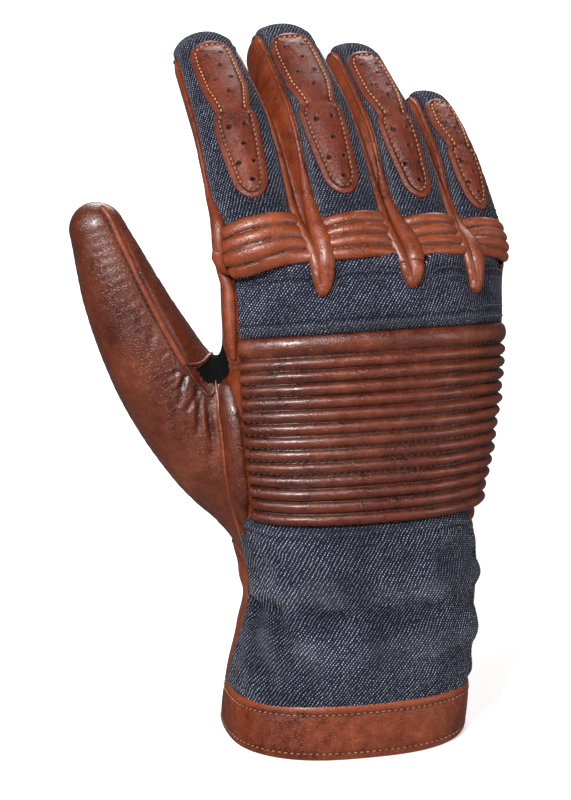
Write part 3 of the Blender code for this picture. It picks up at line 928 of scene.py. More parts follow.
def hook_tape(name, colour, light, scale):
    """Hook and loop tape: rows of dots in a fuzz."""
    n = Nodes(name)
    dots = n.cells(n.rest, scale)
    fuzz = n.noise(n.rest, 2400.0, 4.0, 0.7)
    tone = n.math("ADD", n.ramp(dots, 0.15, 0.6, 0.6, 0.0), n.math("MULTIPLY", fuzz, 0.6))
    n.link(n.mix(tone, colour, light), n.shader.inputs["Base Color"])
    n.fix(Roughness=0.7)
    n.link(n.bump(tone, 0.0006), n.shader.inputs["Normal"])
    return n.material


HIDE = leather("glove_leather_hide", (0.050, 0.0066, 0.0010), (0.146, 0.0225, 0.0036),
               (0.245, 0.0460, 0.0078))
THUMB_HIDE = leather("glove_leather_thumb", (0.033, 0.0043, 0.0009), (0.078, 0.0112, 0.0019),
                     (0.155, 0.0290, 0.0054), rough=(0.26, 0.39), grain=0.00024, coat=0.20, specular=0.60)
BAND_HIDE = leather("glove_leather_band", (0.080, 0.0105, 0.0014), (0.160, 0.0265, 0.0038),
                    (0.25, 0.0480, 0.0080), rough=(0.25, 0.40), coat=0.14, specular=0.62)
PAD_HIDE = leather("pad_leather_rib", (0.031, 0.0038, 0.0008), (0.074, 0.0096, 0.0017),
                   (0.165, 0.0290, 0.0052), rough=(0.25, 0.39), coat=0.22, specular=0.60)
PATCH_HIDE = leather("pad_leather_patch", (0.048, 0.0062, 0.0016), (0.104, 0.0148, 0.0036),
                     (0.172, 0.0300, 0.0072), rough=(0.34, 0.50), grain=0.00028, coat=0.05, specular=0.36)
DENIM = denim("navy_denim_twill")
KNIT = knit("black_stretch_knit_rib", (0.0012, 0.0013, 0.0016), (0.0055, 0.0057, 0.0066), 0.75)
LINING = knit("lining_fabric_tricot", (0.020, 0.018, 0.017), (0.055, 0.050, 0.047), 0.8)
TAN_THREAD = thread("thread_tan", (0.36, 0.115, 0.030), (0.62, 0.24, 0.075))
RUST_THREAD = thread("thread_rust", (0.15, 0.042, 0.013), (0.36, 0.125, 0.036))
BROWN_THREAD = thread("thread_brown", (0.018, 0.0065, 0.0040), (0.045, 0.016, 0.008))
DARK_THREAD = thread("thread_navy", (0.004, 0.005, 0.010), (0.012, 0.015, 0.028))
HOOKS = hook_tape("hook_tape_hooks", (0.006, 0.006, 0.007), (0.05, 0.05, 0.055), 620.0)
LOOPS = hook_tape("hook_tape_loops", (0.010, 0.010, 0.011), (0.035, 0.035, 0.038), 900.0)

# ---- camera, floor and light ---------------------------------------------------------------------
camera_data = bpy.data.cameras.new("camera")
camera = bpy.data.objects.new("camera", camera_data)
bpy.context.scene.collection.objects.link(camera)
bpy.context.scene.camera = camera
camera_data.sensor_width = 36.0
camera_data.lens = 164.3
AZIMUTH, ELEVATION, DISTANCE = math.radians(-15.0), math.radians(15.5), 1.150
target = Vector((CUFF_CENTRE[0] * MM - 0.016, CUFF_CENTRE[1] * MM + 0.014, 0.1047))
backward = Vector((math.sin(AZIMUTH) * math.cos(ELEVATION), -math.cos(AZIMUTH) * math.cos(ELEVATION),
                   math.sin(ELEVATION)))
camera.location = target + backward * DISTANCE
camera.rotation_euler = backward.to_track_quat("Z", "Y").to_euler()
camera_data.clip_end = 20.0


def light(name, spot, aim, size, watts):
    """An area lamp that faces a point."""
    data = bpy.data.lights.new(name, "AREA")
    data.shape = "RECTANGLE"
    data.size, data.size_y = size
    data.energy = watts
    item = bpy.data.objects.new(name, data)
    item.location = spot
    item.rotation_euler = (Vector(spot) - Vector(aim)).to_track_quat("Z", "Y").to_euler()
    bpy.context.scene.collection.objects.link(item)


HEART = (0.0, 0.0, 0.11)
light("key_light", (-0.60, -0.85, 1.10), HEART, (0.26, 0.26), 31.0)
light("fill_light", (1.15, -0.85, 0.50), HEART, (0.40, 0.8), 5.5)
light("side_light", (-1.20, -0.30, 0.95), HEART, (0.22, 0.9), 4.0)
light("back_light", (0.4, 1.2, 1.0), HEART, (0.9, 0.7), 15.0)
world = bpy.data.worlds.new("studio")
world.use_nodes = True
sky = world.node_tree.nodes["Background"].inputs
sky["Color"].default_value = (1.0, 1.0, 1.0, 1.0)
sky["Strength"].default_value = 0.11
bpy.context.scene.world = world
bpy.context.scene.view_settings.view_transform = "Standard"

floor_mesh = bpy.data.meshes.new("floor")
floor_mesh.from_pydata([(-6, -6, 0), (6, -6, 0), (6, 6, 0), (-6, 6, 0)], [], [(0, 1, 2, 3)])
floor = bpy.data.objects.new("floor", floor_mesh)
bpy.context.scene.collection.objects.link(floor)
floor_look = bpy.data.materials.new("floor_paper")
floor_look.use_nodes = True
for socket, value in (("Base Color", (0.86, 0.86, 0.855, 1.0)), ("Roughness", 0.9),
                      ("Emission Color", (1.0, 1.0, 1.0, 1.0)), ("Emission Strength", 0.50)):
    floor_look.node_tree.nodes["Principled BSDF"].inputs[socket].default_value = value
floor.visible_glossy = False
floor_mesh.materials.append(floor_look)


def across(first, second, start, end):
    """A motion that only bakes a piece's transform in place; first, second, start and end are not used."""
    return lambda item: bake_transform(item)


def place(item, motion, slot, *nodes):
    """Says how a piece moves and which nodes it stands for, and hides those nodes; the slot argument is not
    used.
    """
    if isinstance(motion, str):
        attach(item, motion)
    else:
        motion(item)
    if nodes:
        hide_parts(*nodes)


ZONE_START, ZONE_END = 3.5, 12.5
KNEE_ZONE = 8.5


def knuckle_zone(finger):
    """Across the knuckle: low over the back, higher on the palm side."""
    axis, _, back = (row[0] for row in finger.frames(np.array([0.0])))
    direction = unit(0.792 * axis + 0.61 * back)
    return finger.knuckle, direction


def across_knuckle(finger):
    centre, direction = knuckle_zone(finger)
    return across("hand", finger.name + "_lower", centre + direction * ZONE_START,
                  centre + direction * ZONE_END)


def across_knee(finger):
    axis = finger.axis(np.array([finger.lower]))[0]
    return across(finger.name + "_lower", finger.name + "_upper",
                  finger.knee - axis * KNEE_ZONE, finger.knee + axis * KNEE_ZONE)


THUMB_AXIS = unit(THUMB_JOINT - THUMB_BASE)
THUMB_CUT = THUMB_BASE + THUMB_AXIS * 30.0
THUMB_LINE = unit(THUMB_TIP - THUMB_BASE)
CROTCH = THUMB_BASE + np.array([-3.0, 2.5, 31.0])
ACROSS_WRIST = across("cuff", "hand", (*CUFF_CENTRE, 30.0), (*CUFF_CENTRE, 55.0))
ACROSS_THUMB_BASE = across("hand", "thumb_lower", THUMB_BASE - THUMB_AXIS * 3.0,
                           THUMB_BASE + THUMB_AXIS * 20.0)
ACROSS_GUSSET = across("hand", "thumb_lower", CROTCH + np.array([8.0, 0, 0]), CROTCH - np.array([7.0, 0, 0]))
ACROSS_THUMB_JOINT = across("thumb_lower", "thumb_upper", THUMB_JOINT - THUMB_LINE * 10.0,
                            THUMB_JOINT + THUMB_LINE * 8.0)


# ---- hand pieces ----------------------------------------------------------------------------------
def strip_edge(height):
    """Turn at which the thumb's leather meets the strip along the index side."""
    return np.interp(height, (47, 72, 150), (282, 281, 270))


def lattice(turns, heights, count):
    """A table of turns and heights: each side may be a number or a function of the other."""
    rows, columns = count
    v = np.linspace(0, 1, rows)[:, None]
    u = np.linspace(0, 1, columns)[None, :]
    low, high = heights
    turn_guess = turns[0](60.0) if callable(turns[0]) else turns[0]
    turn = turn_guess + (turns[1] - turn_guess) * u
    bottom = low(turn) if callable(low) else low
    top = high(turn) if callable(high) else high
    height = bottom + (top - bottom) * v
    if callable(turns[0]):
        left = turns[0](height)
        turn = left + (turns[1] - left) * u
    return np.broadcast_to(turn, (rows, columns)), np.broadcast_to(height, (rows, columns))


def hand_sheet(turns, heights, count, proud=0.0):
    """A grid laid on the hand, and its normals."""
    turn, height = lattice(turns, heights, count)
    points, normal = drape(hand_raw(turn, height), proud, hand_field)
    return turn, height, points, normal


def ripple(a, b, seed, size):
    """A small smooth unevenness over two coordinates in millimetres."""
    local = np.random.default_rng(seed)
    total = 0.0
    for k in range(6):
        angle = local.uniform(0, math.pi)
        wave = size * local.uniform(0.7, 1.8)
        total = total + np.sin((a * math.cos(angle) + b * math.sin(angle)) * 2 * math.pi / wave
                               + local.uniform(0, 6.28)) / 6 * 1.6
    return total


def edge_distance(points):
    """Distance in millimetres of each grid point from the grid's four sides: left, right, low, high."""
    uv = arc_uv(points)
    across = uv[..., 0] - uv[:, :1, 0]
    width = uv[:, -1:, 0] - uv[:, :1, 0]
    along = np.linalg.norm(np.diff(points, axis=0), axis=-1)
    up = np.concatenate([np.zeros((1, points.shape[1])), np.cumsum(along, axis=0)])
    return across, width - across, up, up[-1:] - up


def row_at(measure, value):
    """The row of a grid whose middle is nearest to a value of a measure."""
    return int(np.argmin(np.abs(measure[:, measure.shape[1] // 2] - value)))


def ribbed(name, points, normal, ribs, rise, material, thickness, sides=2.2, first=1.0, seed=3,
           base=0.0, wobble=0.22, round_by=0.60):
    """A padded panel quilted in ribs across its rows; first is how much taller the top rib is."""
    left, right, low, high = edge_distance(points)
    length = low + high
    shares = np.full(ribs, 1.0)
    shares[-1] = first
    bounds = np.concatenate([[0], np.cumsum(shares)]) / shares.sum()
    v = low / length
    waver = ripple(left, low, seed, 55.0) * wobble / length
    v = np.clip(v + waver * np.sin(np.pi * np.clip(v, 0, 1)), 0, 1)
    index = np.clip(np.searchsorted(bounds, v.ravel(), side="right").reshape(v.shape) - 1, 0, ribs - 1)
    inside = (v - bounds[index]) / (bounds[index + 1] - bounds[index])
    crown = np.clip(1 - (2 * inside - 1) ** 2, 0, 1) ** round_by
    local = np.random.default_rng(seed)
    heights = 1.0 + local.uniform(-0.07, 0.07, ribs)
    side = np.clip(np.minimum(left, right) / sides, 0, 1)
    side = np.sqrt(np.clip(1 - (1 - side) ** 2, 0, 1))
    uneven = 1.0 + 0.06 * ripple(left, low, seed + 1, 16.0) + 0.045 * ripple(left, low, seed + 2, 6.0)
    lift = base + rise * crown * heights[index] * side * uneven
    # the ribs' crowns lighter: wear and painted highlight; the grooves between the ribs darkened with painted
    # shade
    worn = np.clip(crown - 0.80, 0, 1) * 3.6 * np.clip(0.5 + 0.8 * ripple(left, low, seed + 3, 26.0), 0, 1)
    shade = np.clip(1.25 - crown * 2.0, 0, 1)
    item = sheet_object(name, points + normal * lift[..., None], thickness, material,
                        {"worn": worn, "shade": shade})
    return item, bounds, lift


def laid(path, radii, proud, reach=4):
    """A path laid on the skin with its kinks eased, and the skin's normals under it."""
    centre, normal = drape(path, 0.0)
    centre = centre + normal * (radii * proud)[:, None]
    weights = np.ones(2 * reach + 1) / (2 * reach + 1)
    for rows in (centre, normal):
        for k in range(3):
            eased = np.convolve(np.pad(rows[:, k], reach, mode="edge"), weights, "valid")
            rows[reach:-reach, k] = eased[reach:-reach]
    return centre, unit(normal)


def roll(name, path, radii, material, motion, proud=0.35, flatten=0.92, drape_on=True):
    """A sewn leather roll half sunk in the skin, along a path or a centre line and its normals."""
    radii = np.broadcast_to(np.asarray(radii, float), (len(path) if drape_on else len(path[0]),))
    centre, normal = laid(path, radii, proud) if drape_on else path
    item = tube_object(name, centre, radii, material, sides=14, flatten=flatten, up=normal)
    place(item, motion, "glove_leather")
    return item


def evenly(path, count):
    """A count of points spaced evenly along a path."""
    length = lengths(path)
    return points_at(np.linspace(0, length[-1], count), length, path)


def curve_through(points, count):
    """A smooth curve through control points, evenly spaced."""
    stops = lengths(points)
    fine = np.linspace(0, stops[-1], count * 4)
    path = np.stack([spline(fine, stops, points[:, k]) for k in range(3)], -1)
    return evenly(path, count)


def resample(path, step):
    """A path's points again, a step apart."""
    return evenly(path, max(3, int(round(lengths(path)[-1] / step)) + 1))


def sewn(name, path, proud, material, pitch=STITCH, radius=THREAD, motion="hand"):
    """Stitches along a path, laid on the skin at a height."""
    path = resample(np.asarray(path, float), 0.8)
    on, normal = drape(path, proud)
    stitches(name, on, normal, material, pitch, radius, motion=motion)


FINE = 0.8
CUFF_TOP_TURN = 446.0
LOW_ROW, HIGH_ROW = 2.5, 13.0       # heights of the two rows of stitches round the cuff's band


CUFF_TURNS = np.linspace(0, 360, 300, endpoint=False)[None, :]


def build_cuff_band():
    """The folded band: a closed ring, round at its lower fold and thin where it laps the denim."""
    turn = CUFF_TURNS
    columns = turn.shape[1]
    outline = np.array([
        (0.9, 0.2), (0.25, 0.9), (0.05, 1.5), (0.3, 2.2), (1.2, 2.75), (2.0, 2.9), (2.5, 2.8), (3.0, 2.9),
        (4.5, 2.95), (7.5, 3.0), (10.5, 2.95), (12.4, 2.9), (13.0, 2.78), (13.6, 2.85), (14.6, 2.7),
        (15.3, 2.35), (15.6, 1.9), (15.2, 1.5), (13.0, 1.2), (9.0, 0.9), (5.0, 0.5), (2.5, 0.2)])
    heights, prouds = outline[:, 0], outline[:, 1] - 1.6
    wave = ripple(turn * 0.55, turn * 0.0, 11, 34.0)
    pucker = np.sin(turn * math.pi / 180 * 38.0 * 3.3)
    rows = []
    front = np.clip(np.cos(np.radians(turn)), 0, 1)
    for height, proud in zip(heights, prouds):
        near = bump(height, 2.6, 1.3) + bump(height, 13.1, 1.3)
        out = proud + 0.16 * wave * (proud > 0.6) + (0.05 * pucker - 0.16) * near * (proud > 1.0)
        rows.append(hand_raw(turn, height + 2.0 * front * smoothstep(height, 5.0, 15.0), out)[0])
    rows = np.array(rows)
    faces = ring_faces(*rows.shape[:2])
    flat = np.stack(np.broadcast_arrays(turn * 0.63 * np.ones((rows.shape[0], 1)), heights[:, None]), -1)
    worn = np.broadcast_to(((heights < 1.0) * 0.8 + (heights > 14.4) * (prouds > 0) * 0.9)[:, None],
                           (rows.shape[0], columns))
    # painted shade: dark lines in the grooves of the two rows of stitches
    stitch_row_shade = 0.75 * (bump(heights, LOW_ROW, 0.35) + bump(heights, HIGH_ROW, 0.35)) * (prouds > 0.5)
    stitch_row_shade = np.broadcast_to(stitch_row_shade[:, None], (rows.shape[0], columns))
    item = make_object("cuff_band_leather", rows.reshape(-1, 3), faces, flat.reshape(-1, 2),
                       {"worn": worn.reshape(-1), "shade": stitch_row_shade.reshape(-1)}, HIDE)
    fix_normals(item)
    place(item, "cuff", "glove_leather", "cuff_band")
    around = np.linspace(0, 360, 361)
    rise = 2.0 * np.clip(np.cos(np.radians(around)), 0, 1)
    for name, height, proud in (("cuff_band_stitches_low", LOW_ROW, 1.26),
                                ("cuff_band_stitches_high", HIGH_ROW, 1.22)):
        level = height + rise * smoothstep(height, 5.0, 15.0)
        path = hand_raw(around, level, proud - 0.06)
        normal = unit(hand_raw(around, level, 3.0) - path)
        stitches(name, path, normal, RUST_THREAD, 2.0, 0.25, 0.52, motion="cuff")


def build_lining():
    """The lining inside the cuff, with its hem."""
    turn = CUFF_TURNS
    rows = [hand_raw(turn, np.full_like(turn, height), -out)[0]
            for height, out in ((3.2, 2.6), (3.0, 3.2), (3.4, 3.8), (9, 3.9), (18, 3.9), (28, 3.9), (38, 3.9),
                                (44, 3.7), (44.2, 3.1), (40, 2.9), (30, 2.9), (18, 2.7), (9, 2.6))]
    rows = np.array(rows)
    faces = ring_faces(*rows.shape[:2])
    flat = np.stack(np.broadcast_arrays(turn * 0.6 * np.ones((rows.shape[0], 1)),
                                        np.linspace(0, 80, rows.shape[0])[:, None]), -1)
    item = make_object("cuff_lining_cloth", rows.reshape(-1, 3), faces, flat.reshape(-1, 2), None, LINING)
    fix_normals(item)
    place(item, ACROSS_WRIST, "lining_fabric", "cuff_lining", "wrist_elastic")


def denim_edge_turn(height):
    """Turn at which the wrist's denim meets the leather on the index side."""
    return np.interp(height, (15, 30, 43, 52, 57, 64, 69, 73),
                     (256.0, 260.0, 267.5, 271.0, 269.0, 268.5, 272.0, 277.0))


def corner_top(turn):
    """The top of the wrist's denim: level, with a round corner at the little-finger side."""
    return 73.2 - np.minimum(0.0185 * np.clip(turn - 400.0, 0, None) ** 2, 19.0)


def cloth_waves(turn, height):
    """How the wrist's denim stands off where it gathers over the elastic, with slanting pulls."""
    across = (turn - 281) * 0.66
    gather = -1.75 * bump(height, 43.5, 4.2) + 1.30 * bump(height, 51.0, 4.8) + 0.85 * bump(height, 34.5, 5.0)
    gather *= 0.75 + 0.35 * np.sin(across * 0.21 + 0.8) + 0.15 * np.sin(across * 0.47 + 2.0)
    pulls = (0.95 * np.sin((across * 0.80 + height * 0.62) * 0.42 + 1.1) * smoothstep(-across, -62, -8)
             * bump(height, 40, 17))
    small = 0.26 * ripple(across, height * 1.6, 21, 14.0) * bump(height, 43, 14)
    soft = 0.30 * ripple(across, height, 22, 33.0)
    return gather + pulls + small + soft


CLOTH_SCALE = 10.0      # the simulation is steadier on a larger copy
CLOTH_FRAMES = 16


def settled(points, held, slack, cap):
    """A grid of cloth after it is given slack and left to buckle, held where held is 1."""
    rows, columns = points.shape[:2]
    mesh = bpy.data.meshes.new("cloth_work")
    index = np.arange(rows * columns).reshape(rows, columns)
    mesh.from_pydata((points.reshape(-1, 3) * MM * CLOTH_SCALE).tolist(), [], grid_faces(index).tolist())
    item = bpy.data.objects.new("cloth_work", mesh)
    bpy.context.scene.collection.objects.link(item)
    group = item.vertex_groups.new(name="held")
    for level in range(1, 11):
        chosen = np.flatnonzero(np.round(held.reshape(-1) * 10).astype(int) == level)
        if len(chosen):
            group.add(chosen.tolist(), level / 10, "REPLACE")
    cloth = item.modifiers.new("cloth", "CLOTH")
    for key, value in (("quality", 6), ("mass", 0.25), ("tension_stiffness", 22.0),
                       ("compression_stiffness", 22.0), ("shear_stiffness", 6.0), ("bending_stiffness", 2.2),
                       ("vertex_group_mass", "held"), ("pin_stiffness", 1.0), ("shrink_min", -slack),
                       ("uniform_pressure_force", 0.15), ("use_pressure", True)):
        setattr(cloth.settings, key, value)
    cloth.settings.effector_weights.gravity = 0.0
    cloth.collision_settings.use_collision = False
    scene = bpy.context.scene
    for number in range(1, CLOTH_FRAMES + 1):
        scene.frame_set(number)
    seen = item.evaluated_get(bpy.context.evaluated_depsgraph_get())
    result = np.empty(rows * columns * 3)
    seen.data.vertices.foreach_get("co", result)
    scene.frame_set(1)
    bpy.data.objects.remove(item)
    moved = result.reshape(rows, columns, 3) / (MM * CLOTH_SCALE) - points
    size = np.linalg.norm(moved, axis=-1, keepdims=True)
    moved = moved * np.minimum(1, cap / np.maximum(size, 1e-6))
    moved = moved * (1 - held)[..., None]
    return points + moved


def build_wrist_denim():
    """The denim over the back of the wrist, gathered by the elastic, settled as cloth."""
    rows, columns = int(60 / FINE), int(112 / FINE)
    turn, height = lattice((denim_edge_turn, CUFF_TOP_TURN), (14.0, corner_top), (rows, columns))
    points, normal = drape(hand_raw(turn, height), 0.75, hand_field)
    left, right, low, high = edge_distance(points)
    free = np.minimum.reduce([left, right, high])
    calm = smoothstep(free, 0.5, 9.0) * smoothstep(low, 2.5, 9.0)
    lift = cloth_waves(turn, height) * calm
    lift = lift - 0.55 * bump(np.minimum(left, right), 0, 1.2) - 0.5 * bump(high, 0, 1.1)
    rim = bump(free, 2.0, 1.1) * 0.28
    points = points + normal * (lift + rim)[..., None]
    held = 1 - smoothstep(free, 1.0, 5.0) * smoothstep(low, 2.0, 5.0)
    points = settled(points, held, 0.05, 1.5)
    sunk = np.clip(0.30 - hand_field(points), 0, None) * smoothstep(height, 47.0, 53.0)
    points = points + normal * sunk[..., None]
    # paler on the raised gathers (wear and painted highlight) and in a band near the edges (wear); painted
    # shade darkens the edges and the hollows of the folds, and two dark lines run along the rows of stitches
    # below the top edge
    worn = np.clip(lift * 0.4, 0, 1) + bump(free, 1.8, 1.2) * 0.35
    turns_round = np.arange(250.0, 450.0)
    round_wrist = np.interp(turn, turns_round, lengths(hand_raw(turns_round, np.full(200, 43.0))))
    shade = bump(free, 0, 0.8) * 0.8 + np.clip(-lift * 0.25, 0, 0.35)
    seams = bump(high, 2.0, 0.4) + bump(high, 4.3, 0.4)
    item = sheet_object("wrist_denim_cloth", points, 1.3, DENIM,
                        {"worn": worn, "shade": np.maximum(shade, 0.85 * seams)},
                        uv=np.stack([round_wrist, height], -1))
    place(item, ACROSS_WRIST, "navy_denim", "cuff_denim_panel", "wrist_denim_panel")


def strip_top(turn):
    """The top of the denim below the knuckles, cut back where the fingers part."""
    around = (np.asarray(turn, float) + 180) % 360 - 180
    return 149.0 - sum(deep * bump(around, place, wide)
                       for place, wide, deep in ((-20.0, 4.5, 5.0), (9.5, 5.0, 6.0), (38.0, 4.5, 5.0)))


PAD_TURNS, PAD_HEIGHTS, PAD_RIBS = (290.0, 437.0), (73.0, 127.6), 14


def build_back_pad():
    """The quilted pad on the back of the hand, with stitches between its ribs."""
    rows, columns = int(59 / 0.36), int(100 / 0.8)
    _, _, points, normal = hand_sheet(PAD_TURNS, PAD_HEIGHTS, (rows, columns), 0.1)
    item, bounds, lift = ribbed("back_pad_ribs", points, normal, PAD_RIBS, 2.6, PAD_HIDE, 2.0, first=1.7,
                                seed=31, base=-0.35, sides=1.6, round_by=0.47)
    place(item, "hand", "pad_leather", "ribbed_back_pad")
    _, _, low, high = edge_distance(points)
    v = low / (low + high)
    for k in range(1, PAD_RIBS):
        row = row_at(v, bounds[k])
        path = (points + normal * (lift + 0.04)[..., None])[row, 4:-4]
        stitches("back_pad_stitches_%02d" % k, path, normal[row, 4:-4], BROWN_THREAD, 2.1, 0.20, 0.7)


def build_back_denim():
    """The denim between the pad and the knuckles, with its four rows of stitches."""
    rows, columns = int(23 / FINE), int(104 / FINE)
    _, height, points, normal = hand_sheet((289.5, 446.0), (127.2, strip_top), (rows, columns), 0.45)
    left, right, low, high = edge_distance(points)
    lift = (-0.6 * bump(low, 0, 1.0) - 0.6 * bump(np.minimum(left, right), 0, 1.2)
            + 0.22 * ripple(left, low, 41, 24.0) + 0.30 * bump(low, 2.6, 1.4)
            - 0.16 * bump(low, 4.6, 0.5) + 0.25 * bump(high, 5.5, 2.2))
    rows_of_thread = (bump(low, 2.1, 0.42) + bump(low, 4.4, 0.42) + bump(high, 4.2, 0.42)
                      + bump(high, 6.2, 0.42))
    lift = lift - 0.14 * rows_of_thread
    worn = 0.5 * bump(low, 2.2, 1.3)
    # painted shade: the lower edge, the side edges and the grooves of the four rows of stitches darkened
    shade = (0.9 * bump(low, 0, 0.9) + 0.7 * bump(np.minimum(left, right), 0, 0.9)
             + 0.9 * rows_of_thread)
    item = sheet_object("back_denim_cloth", points + normal * lift[..., None], 1.3, DENIM,
                        {"worn": worn, "shade": np.clip(shade, 0, 1)},
                        uv=np.stack([arc_uv(points)[..., 0], height], -1))
    place(item, "hand", "navy_denim", "back_denim_strip")
    surface = points + normal * lift[..., None]
    for k, (measure, inset) in enumerate(((low, 2.1), (low, 4.4), (high, 4.2), (high, 6.2))):
        row = row_at(measure, inset)
        stitches("back_denim_stitches_%d" % k, surface[row, 3:-3] + normal[row, 3:-3] * 0.05,
                 normal[row, 3:-3], DARK_THREAD, 2.2, 0.24, 0.7)


def build_ulnar_ribs():
    """The ribs that carry on round the little-finger edge, under the corner of the denim."""
    rows = int(26 / 0.4)
    sunk = -3.0 + 1.2 * np.linspace(0, 1, rows)[:, None]
    _, _, points, normal = hand_sheet((395.0, 486.0), (54.0, 80.0), (rows, 90), sunk)
    item, _, _ = ribbed("ulnar_ribs", points, normal, 6, 2.3, PAD_HIDE, 1.6, seed=57, base=-0.2, sides=2.0,
                        round_by=0.5)
    place(item, "hand", "pad_leather", "ulnar_ribbed_panel")


def build_side_strips():
    """The strip down the index side: a base, a fat roll, a thin roll beside the pad and a bright welt."""
    _, _, points, _ = hand_sheet((lambda h: strip_edge(h) - 3.0, 293.0), (62.0, 150.0), (110, 16), 0.0)
    left, right, _, _ = edge_distance(points)
    # painted shade along the strip's edge beside the pad
    item = sheet_object("radial_strip_leather", points, 1.4, HIDE,
                        {"worn": 0.2 + 0 * left, "shade": 0.5 * bump(right, 0, 1.5)})
    place(item, "hand", "glove_leather", "radial_side_strip")
    span = np.linspace(0, 1, 60)
    welt_course = np.array([(1.0, -18.4, -24.0), (-0.6, -18.8, -17.0), (-2.4, -18.6, -2.0),
                            (-3.6, -16.2, 13.0), (-3.9, -9.0, 27.0)])
    welt = curve_through(THUMB_BASE + welt_course, 60)
    thin = np.clip(np.sin(np.pi * (span * 0.97 + 0.015)), 0, 1) ** 0.4
    full = 2.3 * np.clip(np.sin(np.pi * (span * 0.94 + 0.03)), 0, 1) ** 0.4
    heights = np.linspace(121.5, 152.5, 60)
    upper = hand_raw(np.interp(heights, (119, 153), (284.5, 286.0)), heights)
    fat = np.interp(span, (0, 0.10, 0.30, 0.80, 0.95, 1.0), (0.5, 1.6, 4.2, 4.2, 2.8, 0.9))
    pieces = [
        ("radial_strip_roll", welt + np.array([4.9, -1.9, 0.5]), fat, THUMB_HIDE, 0.10),
        ("radial_welt", welt, thin, BAND_HIDE, 0.55),
        ("radial_upper_roll", upper, full, HIDE, 0.45),
    ]
    for name, path, radii, material, proud in pieces:
        roll(name, path, radii, material, "hand", proud, 0.62 if "strip_roll" in name else 0.92)
    for k, height in enumerate((119.4, 121.0)):
        turns = np.linspace(282.0, 290.0, 14)
        path, normal = drape(hand_raw(turns, np.full(14, height)), 1.5)
        stitches("radial_cross_stitches_%d" % k, path, normal, BROWN_THREAD, 1.7, 0.24, 0.7)


# ---- the sewn leather skin: palm, side, thumb and the fingers' fronts -------------------------------
def hand_coordinates(points):
    """The turn and the height of points round the hand, the inverse of hand_raw()."""
    across, depth, half_width, half_depth, height = hand_section(points)
    turn = np.degrees(np.arctan2(power(across / half_width, SQUARENESS / 2),
                                 -power(depth / half_depth, SQUARENESS / 2))) % 360
    return turn, height


def sparse_values(field, axes, step):
    """A field over a grid, worked out exactly only near its zero."""
    coarse = [np.arange(axis[0], axis[-1] + 3.1 * step, 3 * step) for axis in axes]
    rough = field(np.stack(np.meshgrid(*coarse, indexing="ij"), -1))
    values = rough
    for k in range(3):
        weight = np.zeros((len(axes[k]), len(coarse[k])))
        place = (axes[k] - coarse[k][0]) / (3 * step)
        base = np.clip(place.astype(int), 0, len(coarse[k]) - 2)
        part = place - base
        weight[np.arange(len(axes[k])), base] = 1 - part
        weight[np.arange(len(axes[k])), base + 1] = part
        values = np.moveaxis(np.tensordot(weight, np.moveaxis(values, k, 0), axes=1), 0, k)
    near = np.argwhere(np.abs(values) < 3.2 * step)
    for chunk in np.array_split(near, max(1, len(near) // 60000)):
        spots = np.stack([axes[k][chunk[:, k]] for k in range(3)], -1)
        values[tuple(chunk.T)] = field(spots)
    return values


def crease(points, line, width, depth):
    """A fold's height at points: a valley along a line with raised lips, fading at both its ends."""
    gap, share = near_line(points, line)
    fade = np.clip(np.sin(np.pi * np.clip(share, 0, 1)), 0, 1) ** 0.6
    q = gap / width
    return fade * depth * (-bump(q, 0, 1) + 0.45 * bump(q, 1.7, 0.9))


def finger_of(points):
    """Which part each point belongs to: 0 the hand, 1 to 4 the fingers, 5 the thumb."""
    fields = [palm_body(points)] + [finger_distance(finger, points) for finger in FINGERS]
    fields.append(thumb_distance(points))
    return np.argmin(np.stack(fields, -1), axis=1)


def along_finger(finger, points):
    """How far points are along a finger's lower part, from its knuckle."""
    return (points - finger.knuckle) @ finger.axis(np.array([finger.lower * 0.5]))[0]


def finger_cut(finger):
    """Where along a finger its pieces over the knuckle end and those over the middle joint begin."""
    return finger.lower - KNEE_ZONE - 5.0


